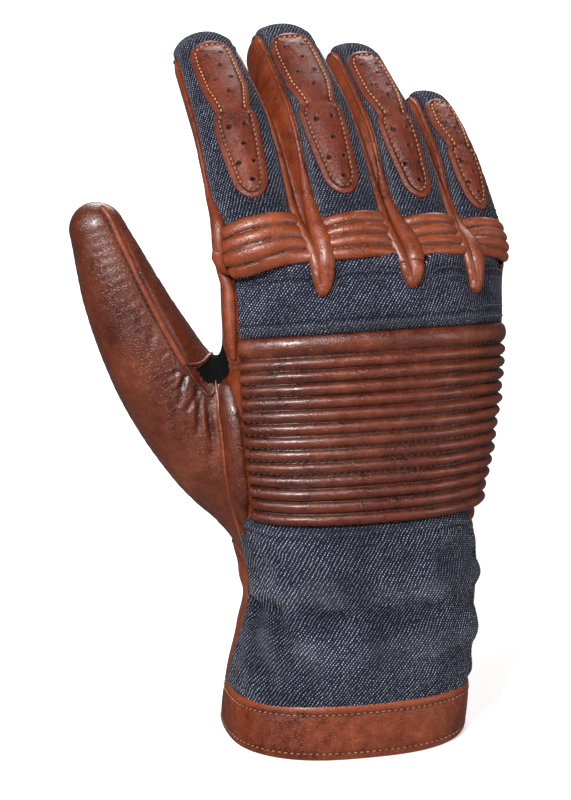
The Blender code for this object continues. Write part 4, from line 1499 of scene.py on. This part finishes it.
def build_skin():
    """The whole glove's skin as quads, and the faces that each piece of leather is cut from."""
    step = 0.95
    low, high = np.array([-74.0, -50.0, 51.0]), np.array([74.0, 62.0, 218.0])
    axes = [np.arange(low[k], high[k] + step, step) for k in range(3)]
    values = sparse_values(skin_field, axes, step)
    points, faces = surface_net(values, axes, step)
    points, normal = drape(points, 0.0, limit=1.0, rounds=2)
    points = relax(points, faces, 1, 0.4)
    points, normal = drape(points, 0.0, limit=1.0, rounds=1)
    middle = points[faces].mean(axis=1)
    open_end = middle[:, 2] < 52.5
    part = finger_of(middle)
    turn, height = hand_coordinates(middle)
    chosen = {}
    lower_turn = (turn > 214) & (turn < strip_edge(height))
    hand = part == 0
    for number, finger in enumerate(FINGERS, 1):
        centre, direction = knuckle_zone(finger)
        above = (middle - centre) @ direction > ZONE_START - 1.0
        along = along_finger(finger, middle)
        mine = part == number
        _, wide, _ = (row[0] for row in finger.frames(np.array([0.0])))
        beside = (middle - centre) @ wide
        under = np.abs(beside) < 0.85 * finger.half_widths[0]
        if finger.name in ("index", "little"):
            under = under | (beside * (1 if finger.name == "little" else -1) > 0)
        # the palm's skin under a finger goes with it, or it would tear at the knuckle
        mine = mine | ((part == 0) & above & under)
        cut = finger_cut(finger)
        chosen[finger.name + "_front_near"] = mine & above & (along < cut)
        chosen[finger.name + "_front_far"] = mine & (along >= cut)
        hand = (hand & ~(mine & above)) | (mine & ~above)
    thumb_along = (middle - THUMB_CUT) @ THUMB_AXIS
    thumb = part == 5
    chosen["thumb_far"] = thumb & (thumb_along >= 0)
    near_thumb = thumb & (thumb_along < 0)
    # the black insert between the thumb and the hand
    away = (middle - CROTCH) / np.array([8.5, 16.0, 8.0])
    gusset = ((away ** 2).sum(axis=1) < 1.0) & (near_thumb | hand) & (turn > 200)
    chosen["thumb_gusset_knit"] = gusset
    chosen["thumb_near"] = ((near_thumb | (hand & lower_turn & (height < 112.0))) & ~gusset & ~open_end)
    chosen["index_side"] = hand & (turn >= 214) & (turn < strip_edge(height)) & (height >= 112.0) & ~gusset
    around = (turn + 180) % 360 - 180
    between = np.min([np.abs(around - place) for place in (-20.0, 10.0, 38.0)], axis=0) < 10.0
    beside_strip = (turn >= strip_edge(height)) & (turn < strip_edge(height) + 16.0)
    webs = (hand & ((turn < 80) | (turn >= strip_edge(height)))
            & ((middle[:, 2] > 154) | ((between | beside_strip) & (middle[:, 2] > 142))))
    chosen["palm"] = (hand & (turn >= 126) & (turn < 214) & ~open_end) | webs
    chosen["ulnar_side"] = hand & (turn >= 76) & (turn < 126) & ~open_end & (height > 80)
    points, finer = subdivide(points, faces)
    normal, _ = subdivide(normal, faces)
    points = relax(points, finer, 1, 0.5)
    chosen = {name: np.tile(pick, 4) for name, pick in chosen.items()}
    return points, unit(normal), finer, chosen


def build_leather():
    """The leather of the palm, the thumb and the fingers' fronts, and the gusset."""
    points, normal, faces, chosen = build_skin()
    # folds where the thumb meets the palm and at its joint
    folds = []
    star, near_joint = STAR_STOP, THUMB_STOPS[3]
    for start, stop, from_turn, to_turn, width, depth in (
            (star - 0, star - 2, 51, 26, 0.7, 0.30), (star - 2, star - 5, 50, 22, 0.8, 0.38),
            (star - 4, star - 9, 49, 18, 0.9, 0.48), (star - 7, star - 14, 50, 24, 0.9, 0.45),
            (star - 9, star - 20, 52, 17, 1.1, 0.60), (star - 12, star - 25, 53, 30, 1.0, 0.50),
            (star - 14, star - 31, 50, 12, 1.3, 0.55), (star - 18, star - 34, 55, 36, 1.1, 0.45),
            (star - 5, star - 17, 28, -2, 1.2, 0.28), (star + 3, star - 1, 49, 32, 0.7, 0.26),
            (star + 7, star + 4, 49, 30, 0.7, 0.22), (star - 22, star - 42, 42, 14, 1.6, 0.35),
            (star + 16, star + 11, 46, 22, 1.2, 0.24)):
        s = np.linspace(start, stop, 18)
        bend = 1.2 * np.sin(np.linspace(0, 3.0, 18) + start)
        folds.append((thumb_point(s + bend, np.linspace(from_turn, to_turn, 18)), width, depth))
    for shift, swing, depth in ((-4.0, 110, 0.45), (0.5, 118, 0.6), (4.6, 108, 0.4)):
        turns = np.linspace(swing, swing + 150, 20)
        folds.append((thumb_point(near_joint + shift + 1.5 * np.sin(turns / 25.0), turns), 1.5, depth))
    # the groove on both sides of the seam
    folds.append((thumb_seam_line(30), 1.5, 0.55))
    lift = np.zeros(len(points))
    near = thumb_gap(points) < FOLD_REACH
    spots = points[near]
    total = np.zeros(len(spots))
    for line, width, depth in folds:
        line, _ = drape(line, 0.0)
        total += crease(spots, line, width, depth)
    a = spots @ unit(np.array([0.55, -0.3, 0.2]))
    b = spots @ unit(np.array([-0.2, 0.5, 0.8]))
    total += 0.16 * ripple(a, b * 0.6, 71, 19.0) + 0.05 * ripple(a, b * 0.5, 72, 6.0)
    lift[near] = total
    moved = points + normal * lift[:, None]
    # the folds' raised lips lighter (wear and painted highlight), their hollows darkened by painted shade
    worn = np.clip(0.18 + 1.1 * np.clip(lift, -0.2, 0.6), 0, 1)
    shade = np.clip(-lift * 0.8, 0, 0.8)
    plans = [("thumb_near", THUMB_HIDE, ACROSS_THUMB_BASE,
              ("thumb_root_panel", "thumb_back_lower", "thumb_front_lower")),
             ("thumb_far", THUMB_HIDE, ACROSS_THUMB_JOINT, ("thumb_back_upper", "thumb_front_upper")),
             ("thumb_gusset_knit", KNIT, ACROSS_GUSSET, ("thumb_gusset",)),
             ("index_side", HIDE, "hand", ("index_side_panel",)),
             ("palm", HIDE, "hand", ("palm_panel",)),
             ("ulnar_side", HIDE, "hand", ("ulnar_side_strip",))]
    walls = {"index": ("index_ulnar_wall",), "middle": ("middle_radial_wall", "middle_ulnar_wall"),
             "ring": ("ring_radial_wall", "ring_ulnar_wall"), "little": ("little_radial_wall",)}
    for finger in FINGERS:
        name = finger.name
        plans.append((name + "_front_near", HIDE, across_knuckle(finger),
                      (name + "_front_lower",) + walls[name]))
        plans.append((name + "_front_far", HIDE, across_knee(finger),
                      (name + "_front_upper",)))
    for name, material, motion, nodes in plans:
        pick = clean(chosen[name], faces)
        item = patch_object(name + "_leather" if material is not KNIT else name, moved, normal, faces,
                            pick, 1.2, material, {"worn": worn, "shade": shade})
        place(item, motion, "black_stretch_knit" if material is KNIT else "glove_leather", *nodes)


STAR_STOP = 68.0        # along the thumb, where its seam parts in two
FOLD_REACH = 60.0       # the thumb's folds are worked out this far from its middle


def thumb_seam_line(count):
    """The seam of the thumb's two halves, from over its tip to the star."""
    s = np.linspace(THUMB_LENGTH + 5.0, STAR_STOP, count)
    return thumb_point(s, np.interp(s, [STAR_STOP, THUMB_LENGTH, THUMB_LENGTH + 5.0], [53.0, 60.0, 66.0]))


def split_roll(name, path, radii, finger, material, proud):
    """A roll along a finger, in two pieces that meet between its joints; the first is returned."""
    last = int(np.flatnonzero(along_finger(finger, path) <= finger_cut(finger))[-1]) + 2
    centre, normal = laid(path, radii, proud, 9)
    item = roll(name + "_near", (centre[:last], normal[:last]), radii[:last], material,
                across_knuckle(finger), drape_on=False)
    roll(name + "_far", (centre[last - 2:], normal[last - 2:]), radii[last - 2:], material,
         across_knee(finger), drape_on=False)
    return item


def back_edge(finger, s, side):
    """Turn of the denim's edge along a finger."""
    wide = 49.0 + (13.0 * smoothstep(s, 5.0, 32.0) if side > 0 else -9.0 * smoothstep(s, 12.0, 42.0))
    if finger.name == "index" and side < 0:
        wide = wide + 20.0 * smoothstep(s, 2.0, 20.0) + 9.0 * smoothstep(s, 12.0, 42.0)
    if finger.name == "little" and side > 0:
        wide = wide + 8.0
    return side * wide


TIP_SWING = 72.0        # degrees that the denim goes on over a fingertip


def finger_back_grid(finger, start, pitch):
    """The back of a finger from a start along it, over its tip: stops, turns and swings of a grid."""
    length = finger.cap - start
    arc = finger.half_depths[2] * math.radians(TIP_SWING)
    rows = int((length + arc) / pitch)
    t = np.linspace(0, length + arc, rows)
    s = start + np.minimum(t, length)
    swing = np.degrees(np.clip(t - length, 0, None) / finger.half_depths[2])
    columns = int(26.0 / pitch)
    u = np.linspace(0, 1, columns)[None, :]
    left = back_edge(finger, s, -1)[:, None]
    right = back_edge(finger, s, 1)[:, None]
    turn = left + (right - left) * u
    return s[:, None] + 0 * turn, turn, swing[:, None] + 0 * turn


def build_band(finger):
    """The ribbed leather band across a knuckle, from the hand's edge up to the finger's root."""
    rows, columns = int(17 / 0.36), int(26 / 0.6)
    u = np.linspace(0, 1, columns)[None, :]
    v = np.linspace(0, 1, rows)[:, None]
    outer_low = 2.5 if finger.name == "index" else 0.0
    outer_high = 6.0 if finger.name == "little" else 0.0
    low_turn = (finger.back_turns[0] + outer_low
                + (finger.back_turns[1] - finger.back_turns[0] - 1.0 - outer_low - outer_high) * u)
    bottom = hand_raw(low_turn, 147.6 + 0 * low_turn)
    swing = -54 + (108 - outer_high) * u
    middle = finger.point(-0.6, swing)
    top = finger.point(5.6, swing)
    points = (bottom * ((1 - v) ** 2)[..., None] + 2 * middle * (v * (1 - v))[..., None]
              + top * (v ** 2)[..., None])
    points, normal = drape(points, 0.3)
    item, bounds, lift = ribbed(finger.name + "_band_ribs", points, normal, 4, 1.55, BAND_HIDE, 1.8,
                                seed=80 + len(finger.name), base=0.2, sides=0.8, wobble=0.1, first=1.05,
                                round_by=0.45)
    place(item, across_knuckle(finger), "glove_leather", finger.name + "_knuckle_band")
    _, _, low, high = edge_distance(points)
    share = low / (low + high)
    for k in (1, 2, 3):
        row = row_at(share, bounds[k])
        path = (points + normal * (lift + 0.05)[..., None])[row, 2:-2]
        stitches("%s_band_stitches_%d" % (finger.name, k), path, normal[row, 2:-2], BROWN_THREAD,
                 1.8, 0.2, 0.7, motion=across_knuckle(finger))


def build_finger_denim(finger):
    """The denim over a finger's back, wrinkled at the middle joint, with its two rows of stitches."""
    s, turn, swing = finger_back_grid(finger, 4.6, FINE)
    points, normal = drape(finger.point(s, turn, 0.0, swing), 0.0)
    left, right, low, high = edge_distance(points)
    side = np.minimum(left, right)
    free = np.minimum(side, high)
    proud = 0.95 - 1.15 * bump(free, 0, 1.0) - 0.5 * bump(low, 0, 0.9)
    proud += 0.20 * bump(free, 2.4, 1.1)
    proud += 0.16 * ripple(left, low, 100 + len(finger.name), 20.0) * smoothstep(free, 0.5, 5)
    rows_of_thread = bump(low, 3.2, 0.42) + bump(low, 5.4, 0.42)
    proud -= 0.14 * rows_of_thread
    knee = finger.lower - 4.6
    for k, shift in enumerate((-5.5, -1.0, 3.5)):
        wander = 0.8 * np.sin(left * 0.5 + k)
        proud -= 0.22 * bump(low - knee - shift - wander, 0, 1.0) * smoothstep(free, 0.5, 3)
    surface = points + normal * proud[..., None]
    worn = 0.55 * bump(free, 1.9, 1.2)
    # painted shade: the edges and the grooves of the two rows of stitches darkened
    shade = 0.9 * bump(free, 0, 0.8) + 0.9 * rows_of_thread
    item = sheet_object(finger.name + "_back_denim", surface, 0.9, DENIM,
                        {"worn": worn, "shade": np.clip(shade, 0, 1)})
    place(item, across_knee(finger), "navy_denim", finger.name + "_back_lower", finger.name + "_back_upper")
    for k, inset in enumerate((3.2, 5.4)):
        row = row_at(low, inset)
        stitches("%s_denim_stitches_%d" % (finger.name, k), surface[row, 3:-3] + normal[row, 3:-3] * 0.05,
                 normal[row, 3:-3], DARK_THREAD, 2.0, 0.22, 0.7, motion=finger.name + "_lower")


def patch_half_width(finger, s):
    """Half the patch's width at a place along the finger: two lobes that meet in a sharp notch."""
    waist = finger.lower - 0.5
    scale = finger.half_widths[1] / 12.0
    low, high = finger.lower * 0.28, finger.cap - 1.2
    stops = [low, low + 5, waist - 9, waist - 1.2, waist - 0.3, waist + 0.6, waist + 8.5, high - 10, high]
    widths = [3.6, 4.5, 6.1, 6.3, 5.1, 4.9, 6.7, 6.8, 6.1]
    width = np.interp(s, stops, widths) * scale
    end_low = np.sqrt(np.clip(1 - (1 - np.clip((s - low) / 6.0, 0, 1)) ** 2, 0, 1))
    end_high = np.sqrt(np.clip(1 - (1 - np.clip((high - s) / 5.0, 0, 1)) ** 2.4, 0, 1))
    return width * np.minimum(end_low, end_high), low, high


def finger_surface(finger, t, across):
    """Points over a finger's back from millimetres along it and across it."""
    s = np.minimum(t, finger.cap)
    swing = np.degrees(np.clip(t - finger.cap, 0, None) / finger.half_depths[2])
    width, depth = finger.sizes(s)
    return finger.point(s, np.degrees(across / (0.5 * (width + depth) + 1.0)), 0.0, swing)


def build_patch(finger):
    """The perforated patch on a finger's back."""
    step = 0.34
    _, low_end, high_end = patch_half_width(finger, np.array([0.0]))
    rows = int((high_end - low_end) / step)
    ease = (1 - np.cos(np.linspace(0, math.pi, rows))) / 2
    share = 0.35 * ease + 0.65 * np.linspace(0, 1, rows)
    t = low_end + (high_end - low_end) * share
    half, _, _ = patch_half_width(finger, t)
    half = np.maximum(half, 0.5)
    u = np.linspace(-1, 1, int(17 / step))[None, :]
    across = half[:, None] * u
    along = t[:, None] + 0 * across
    points, normal = drape(finger_surface(finger, along, across), 0.0)
    edge = np.minimum(half[:, None] * (1 - np.abs(u)), np.minimum(along - low_end, high_end - along))
    waist = finger.lower - 0.2
    middle = np.minimum(np.abs(along - waist), 8.0)
    proud = 2.05 - 0.30 * bump(edge, 0, 0.7) - 0.32 * bump(edge, 1.9, 0.7)
    proud += 0.55 * smoothstep(edge, 2.2, 6.0) * smoothstep(middle, 1.0, 7.0)
    proud += 0.08 * ripple(across * 2, along, 140 + len(finger.name), 11.0)
    proud -= 0.25 * bump(along, waist, 1.1)
    holes = []
    for start, room in ((waist - 5.0, low_end + 5.5 - waist + 5.0),
                        (high_end - 7.0, waist + 5.5 - high_end + 7.0)):
        pitch = room / 3
        holes += [(start, -2.2), (start, 2.2), (start + pitch, 0.7), (start + 2 * pitch, -2.0),
                  (start + 2 * pitch, 2.2), (start + 3 * pitch, 0.5)]
    # painted shade: the bottoms of the dimples that stand for perforations darkened
    shade = np.zeros_like(proud)
    for spot, offset in holes:
        gap = np.hypot(along - spot, across - offset)
        proud -= 1.35 * smoothstep(-gap, -0.78, -0.42)
        proud += 0.10 * bump(gap, 1.0, 0.3)
        shade = np.maximum(shade, 1.3 * smoothstep(-gap, -0.80, -0.45))
    # painted shade in the groove of the stitch line
    seam = bump(edge, 1.75, 0.33)
    proud -= 0.16 * seam
    shade = np.maximum(shade, 0.8 * seam)
    worn = 0.45 * bump(edge, 0, 0.6)
    surface = points + normal * proud[..., None]
    uv = np.stack([across, along], -1)
    item = sheet_object(finger.name + "_patch", surface, 1.15, PATCH_HIDE,
                        {"worn": worn, "shade": np.clip(shade, 0, 1)}, uv=uv)
    place(item, across_knee(finger), "pad_leather",
          finger.name + "_patch_lower", finger.name + "_patch_upper")


def build_patch_stitches(finger):
    """The row of stitches round a patch, in two threads that change at the waist."""
    _, low_end, high_end = patch_half_width(finger, np.array([0.0]))
    waist = finger.lower - 0.2
    inset = 1.75
    for name, start, stop, order, material in (("lower", low_end, waist - 0.2, -1, RUST_THREAD),
                                               ("upper", waist - 0.2, high_end, 1, TAN_THREAD)):
        run = np.linspace(start, stop, 240)
        width, _, _ = patch_half_width(finger, run)
        outline = np.concatenate([np.stack([run, -width], -1)[::order],
                                  np.stack([run, width], -1)[::-order]])
        tangent = np.gradient(outline, axis=0)
        tangent /= np.linalg.norm(tangent, axis=1, keepdims=True) + 1e-9
        inward = np.stack([-tangent[:, 1], tangent[:, 0]], -1)
        centre = np.array([(start + stop) / 2, 0.0])
        flip = np.sign(((centre - outline) * inward).sum(-1))
        line = outline + inward * (flip * inset)[:, None]
        smooth = [np.convolve(np.pad(line[:, k], 5, mode="edge"), np.ones(11) / 11, "valid") for k in (0, 1)]
        path, _ = drape(finger_surface(finger, *smooth), 1.80)
        path, facing = drape(resample(path, 0.5), 1.80)
        stitches("%s_patch_stitches_%s" % (finger.name, name), path, facing, material, 1.75, 0.27, 0.56,
                 motion=across_knee(finger))


def build_rolls():
    """The leather rolls that run up between the fingers' backs and along their edges."""
    for finger in FINGERS:
        for side in (-1, 1):
            outer = (finger.name == "index" and side < 0) or (finger.name == "little" and side > 0)
            turn = finger.back_turns[0] if side < 0 else finger.back_turns[1]
            height = {"index": 139.0, "middle": 139.0 if side < 0 else 139.6,
                      "ring": 139.6 if side < 0 else 137.6, "little": 137.6}[finger.name]
            shift = 1.0 if side < 0 else -1.0
            s = np.concatenate([[9.0], np.arange(16.0, finger.cap, 7.0), [finger.cap]])
            edge = back_edge(finger, s, side) + side * 3.0
            body = finger.point(s, edge)
            arc = np.array([28.0, 56.0, 84.0])
            tip_turn = back_edge(finger, np.full(3, finger.cap), side) + side * 1.5
            tip = finger.point(finger.cap, tip_turn, 0.0, arc)
            if outer:
                start = [hand_raw(turn + (0.5 if side < 0 else -0.5), 149.0)]
            else:
                start = [hand_raw(turn + shift * 0.7, height), hand_raw(turn + shift * 1.8, height + 4.5),
                         hand_raw(turn + shift * 2.2, 148.5)]
            path = curve_through(np.concatenate([np.array(start), body, tip]), 150)
            length = lengths(path)
            total = length[-1]
            if outer:
                fat = 2.5 if side < 0 else 1.1
                radii = np.interp(length, [0, 1.5, 4, 14, 22, 34, total - 6, total],
                                  [0.5, 0.65 * fat, fat, fat, 0.6 * fat, 0.7, 0.5, 0.3])
            elif side < 0:
                fat = 3.1
                radii = np.interp(length, [0, 1.0, 3.5, 9, 20, 32, 46, total - 6, total],
                                  [0.9, 1.9, 2.2, fat, fat, 2.1, 0.8, 0.55, 0.3])
            else:
                fat = 2.0
                radii = np.interp(length, [0, 1.0, 3.5, 9, 20, 34, total - 6, total],
                                  [0.7, 1.35, 1.6, fat, fat, 1.3, 0.85, 0.5])
            name = "%s_%s_roll" % (finger.name, "radial" if side < 0 else "ulnar")
            item = split_roll(name, path, radii, finger, HIDE if outer else BAND_HIDE, 0.42)
            if side < 0 and not outer:
                left = FINGERS[FINGERS.index(finger) - 1]
                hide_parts("fourchette_%s_%s" % (left.name, finger.name))
    # the sewn lower end of each pair
    for left, right in zip(FINGERS, FINGERS[1:]):
        turn = left.back_turns[1]
        height = {"index": 138.4, "middle": 139.0, "ring": 137.0}[left.name]
        path = hand_raw(turn + np.array([-0.2, 0.0, 0.1]), np.array([height, height + 1.4, height + 2.8]))
        roll("%s_%s_roll_end" % (left.name, right.name), curve_through(path, 12),
             np.interp(np.linspace(0, 1, 12), [0, 0.3, 1], [1.3, 2.2, 2.3]), BAND_HIDE, "hand", 0.30)


def build_thumb_seams():
    """The ridge where the thumb's two panels are sewn, from its tip to the star, and its stitches."""
    path, _ = drape(curve_through(thumb_seam_line(14), 140), 0.0)
    roll("thumb_seam_far", path, 1.1, HIDE, ACROSS_THUMB_JOINT, -0.05, 0.85)
    shifted = path + np.cross(unit(np.gradient(path, axis=0)), drape(path, 0.0)[1]) * 1.5
    sewn("thumb_seam_far_stitches", shifted, 0.15, BROWN_THREAD, 1.9, 0.2, motion=ACROSS_THUMB_JOINT)


def build_crotch_seams():
    """Two seams that part at the star: one to the crotch, one down to the strip on the index side."""
    star = thumb_point(STAR_STOP, 53.0)
    runs = {"crotch_seam": [star, thumb_point(STAR_STOP - 3.0, 72.0), thumb_point(STAR_STOP - 3.5, 92.0),
                            thumb_point(STAR_STOP - 4.0, 112.0)],
            "strip_seam": [star, thumb_point(STAR_STOP - 7.0, 53.0), thumb_point(STAR_STOP - 13.5, 58.0),
                           THUMB_BASE + np.array([-3.9, -9.0, 26.0])]}
    for name, places in runs.items():
        path, _ = drape(curve_through(np.array([np.ravel(p) for p in places]), 50), 0.0)
        size = 0.75 * np.clip(np.sin(np.pi * np.linspace(0.03, 0.97, 50)), 0, 1) ** 0.4
        roll(name, path, size, THUMB_HIDE, ACROSS_THUMB_BASE, 0.1, 0.8)
        sewn(name + "_stitches", path[3:-3] + np.array([-0.7, -0.4, -1.0]), 0.1, BROWN_THREAD, 1.9, 0.2,
             motion=ACROSS_THUMB_BASE)


# ---- the palm side ---------------------------------------------------------------------------------
def build_cuff_leather():
    """The leather round the cuff, below the palm and the thumb."""
    rows, columns = int(48 / FINE), int(118 / FINE)
    turn, height = lattice((lambda h: denim_edge_turn(h) + 0.8, 84.5),
                           (14.0, lambda t: 62.5 - 6.5 * smoothstep(t, 246, 274)), (rows, columns))
    points, normal = drape(hand_raw(turn, height), 0.15, hand_field)
    left, right, _, high = edge_distance(points)
    points = points - normal * (0.9 * bump(left, 0, 2.0))[..., None]
    gather = -0.9 * bump(height, 43.0, 4.5) + 0.55 * bump(height, 51.0, 4.0) + 0.5 * bump(height, 34.5, 4.0)
    across = turn * 0.6
    gather = gather * (0.7 + 0.35 * np.sin(across * 0.33) + 0.2 * np.sin(across * 0.81 + 1))
    calm = smoothstep(np.minimum(np.minimum(left, right), high), 0.3, 6.0)
    lift = calm * (gather + 0.16 * ripple(across, height, 61, 20.0)) - 0.8 * bump(high, 0, 2.5)
    # the raised gathers lighter (wear and painted highlight); their hollows and the dipped top edge darkened
    # by painted shade
    item = sheet_object("cuff_palm_leather_skin", points + normal * lift[..., None], 1.3, HIDE,
                        {"worn": np.clip(0.15 + lift * 0.35, 0, 1), "shade": np.clip(-lift * 0.35, 0, 0.6)})
    place(item, ACROSS_WRIST, "glove_leather", "cuff_palm_leather")


def build_palm_patch():
    """The reinforcement on the palm, with rounded corners and a row of stitches."""
    rows, columns = int(52 / 0.7), int(44 / 0.7)
    u = np.linspace(-1, 1, columns)[None, :]
    v = np.linspace(-1, 1, rows)[:, None]
    squeeze = (1 - 0.20 * np.clip(np.abs(v), 0, 1) ** 5)
    tall = (1 - 0.14 * np.abs(u) ** 5)
    turn = 165.0 + 23.0 * u * squeeze
    height = 96.0 + 25.0 * v * tall
    points, normal = drape(hand_raw(turn, height), 0.0)
    left, right, low, high = edge_distance(points)
    edge = np.minimum.reduce([left, right, low, high])
    proud = 1.5 + 0.9 * smoothstep(edge, 2.5, 9.0) - 0.35 * bump(edge, 0, 0.8) - 0.2 * bump(edge, 2, 0.6)
    proud = proud + 0.12 * ripple(left, low, 63, 22.0)
    item = sheet_object("palm_reinforcement", points + normal * proud[..., None], 1.4, PATCH_HIDE,
                        {"worn": 0.5 * bump(edge, 0, 0.8) + 0.2 * smoothstep(edge, 6, 12), "shade": 0 * edge})
    place(item, "hand", "glove_leather", "palm_patch")
    keep = int(2.0 / 0.7)
    ring = np.concatenate([points[keep, keep:-keep], points[keep:-keep, -keep - 1],
                           points[-keep - 1, keep:-keep][::-1], points[keep:-keep, keep][::-1]])
    sewn("palm_stitches_0", ring, 1.45, TAN_THREAD)


def strap_sheet(turns, heights, count, proud, name, material, thickness, body, nodes, slot, round_end=True):
    """A strap laid round the cuff between two turns and two heights: its surface and the way out of it."""
    v = np.linspace(-1, 1, count[0])[:, None]
    u = np.linspace(0, 1, count[1])[None, :]
    half = (heights[1] - heights[0]) / 2
    taper = np.sqrt(np.clip(1 - np.clip((u - 0.86) / 0.14, 0, 1) ** 2, 0.02, 1)) if round_end else 1.0
    turn = turns[0] + (turns[1] - turns[0]) * u + 0 * v
    height = (heights[0] + heights[1]) / 2 + half * v * taper
    points = hand_raw(turn, height)
    outward = unit(hand_raw(turn, height, 4.0) - points)
    edge = np.minimum(edge_distance(points)[2], edge_distance(points)[3])
    lift = proud - 0.3 * bump(edge, 0, 0.7) - 0.18 * bump(edge, 2.0, 0.6)
    surface = points + outward * lift[..., None]
    item = sheet_object(name, surface, thickness, material,
                        {"worn": 0.6 * bump(edge, 0, 0.7), "shade": 0 * edge})
    place(item, body, slot, *nodes)
    return surface, outward


def build_strap():
    """The closure strap, the hook tape under its end and the loop tape on the cuff."""
    surface, outward = strap_sheet((204.0, 142.0), (22.4, 36.6), (22, 84), 3.55, "closure_strap_leather",
                                   HIDE, 1.5, "closure_strap", ("closure_strap",), "glove_leather")
    for k, row in enumerate((3, 18)):
        stitches("strap_stitches_%d" % k, surface[row, 3:-8] + outward[row, 3:-8] * 0.05,
                        outward[row, 3:-8], TAN_THREAD, 2.1, 0.25, 0.65, motion="closure_strap")
    strap_sheet((168.0, 146.5), (24.4, 34.6), (16, 34), 2.0, "strap_hooks", HOOKS, 0.55, "closure_strap",
                ("strap_hook_pad",), "hook_tape", round_end=False)
    strap_sheet((172.0, 138.0), (23.6, 35.4), (16, 50), 1.35, "cuff_loops", LOOPS, 0.7, "cuff", (),
                "hook_tape", round_end=False)


def raised_seam(name, turns, heights, radius, count=60):
    """A raised seam up the hand, with its stitches."""
    height = np.linspace(heights[0], heights[1], count)
    turn = np.linspace(turns[0], turns[1], count)
    roll(name, hand_raw(turn, height), radius, HIDE, "hand", 0.2)
    sewn(name + "_stitches", hand_raw(turn + 2.4, height), 0.12, BROWN_THREAD)


def build_palm_seams():
    """Raised seams down the palm's sides and the little-finger edge, and the stitches above the cuff."""
    raised_seam("ulnar_palm_seam", (126.0, 126.0), (62.0, 146.0), 0.9)
    raised_seam("thumb_palm_seam", (214.0, 212.0), (62.0, 104.0), 0.9, 40)
    raised_seam("ulnar_back_seam", (447.0, 448.0), (84.0, 150.0), 1.1)
    path = hand_raw(np.linspace(127, 243, 100), np.full(100, 62.6))
    sewn("palm_cuff_stitches", path + np.array([0, 0, -1.9]), 0.25, TAN_THREAD)


build_cuff_band()
build_lining()
build_wrist_denim()
build_back_pad()
build_back_denim()
build_ulnar_ribs()
build_side_strips()
build_leather()
build_rolls()
for digit in FINGERS:
    build_band(digit)
    build_finger_denim(digit)
    build_patch(digit)
    build_patch_stitches(digit)
build_thumb_seams()
build_crotch_seams()
build_cuff_leather()
build_palm_patch()
build_strap()
build_palm_seams()
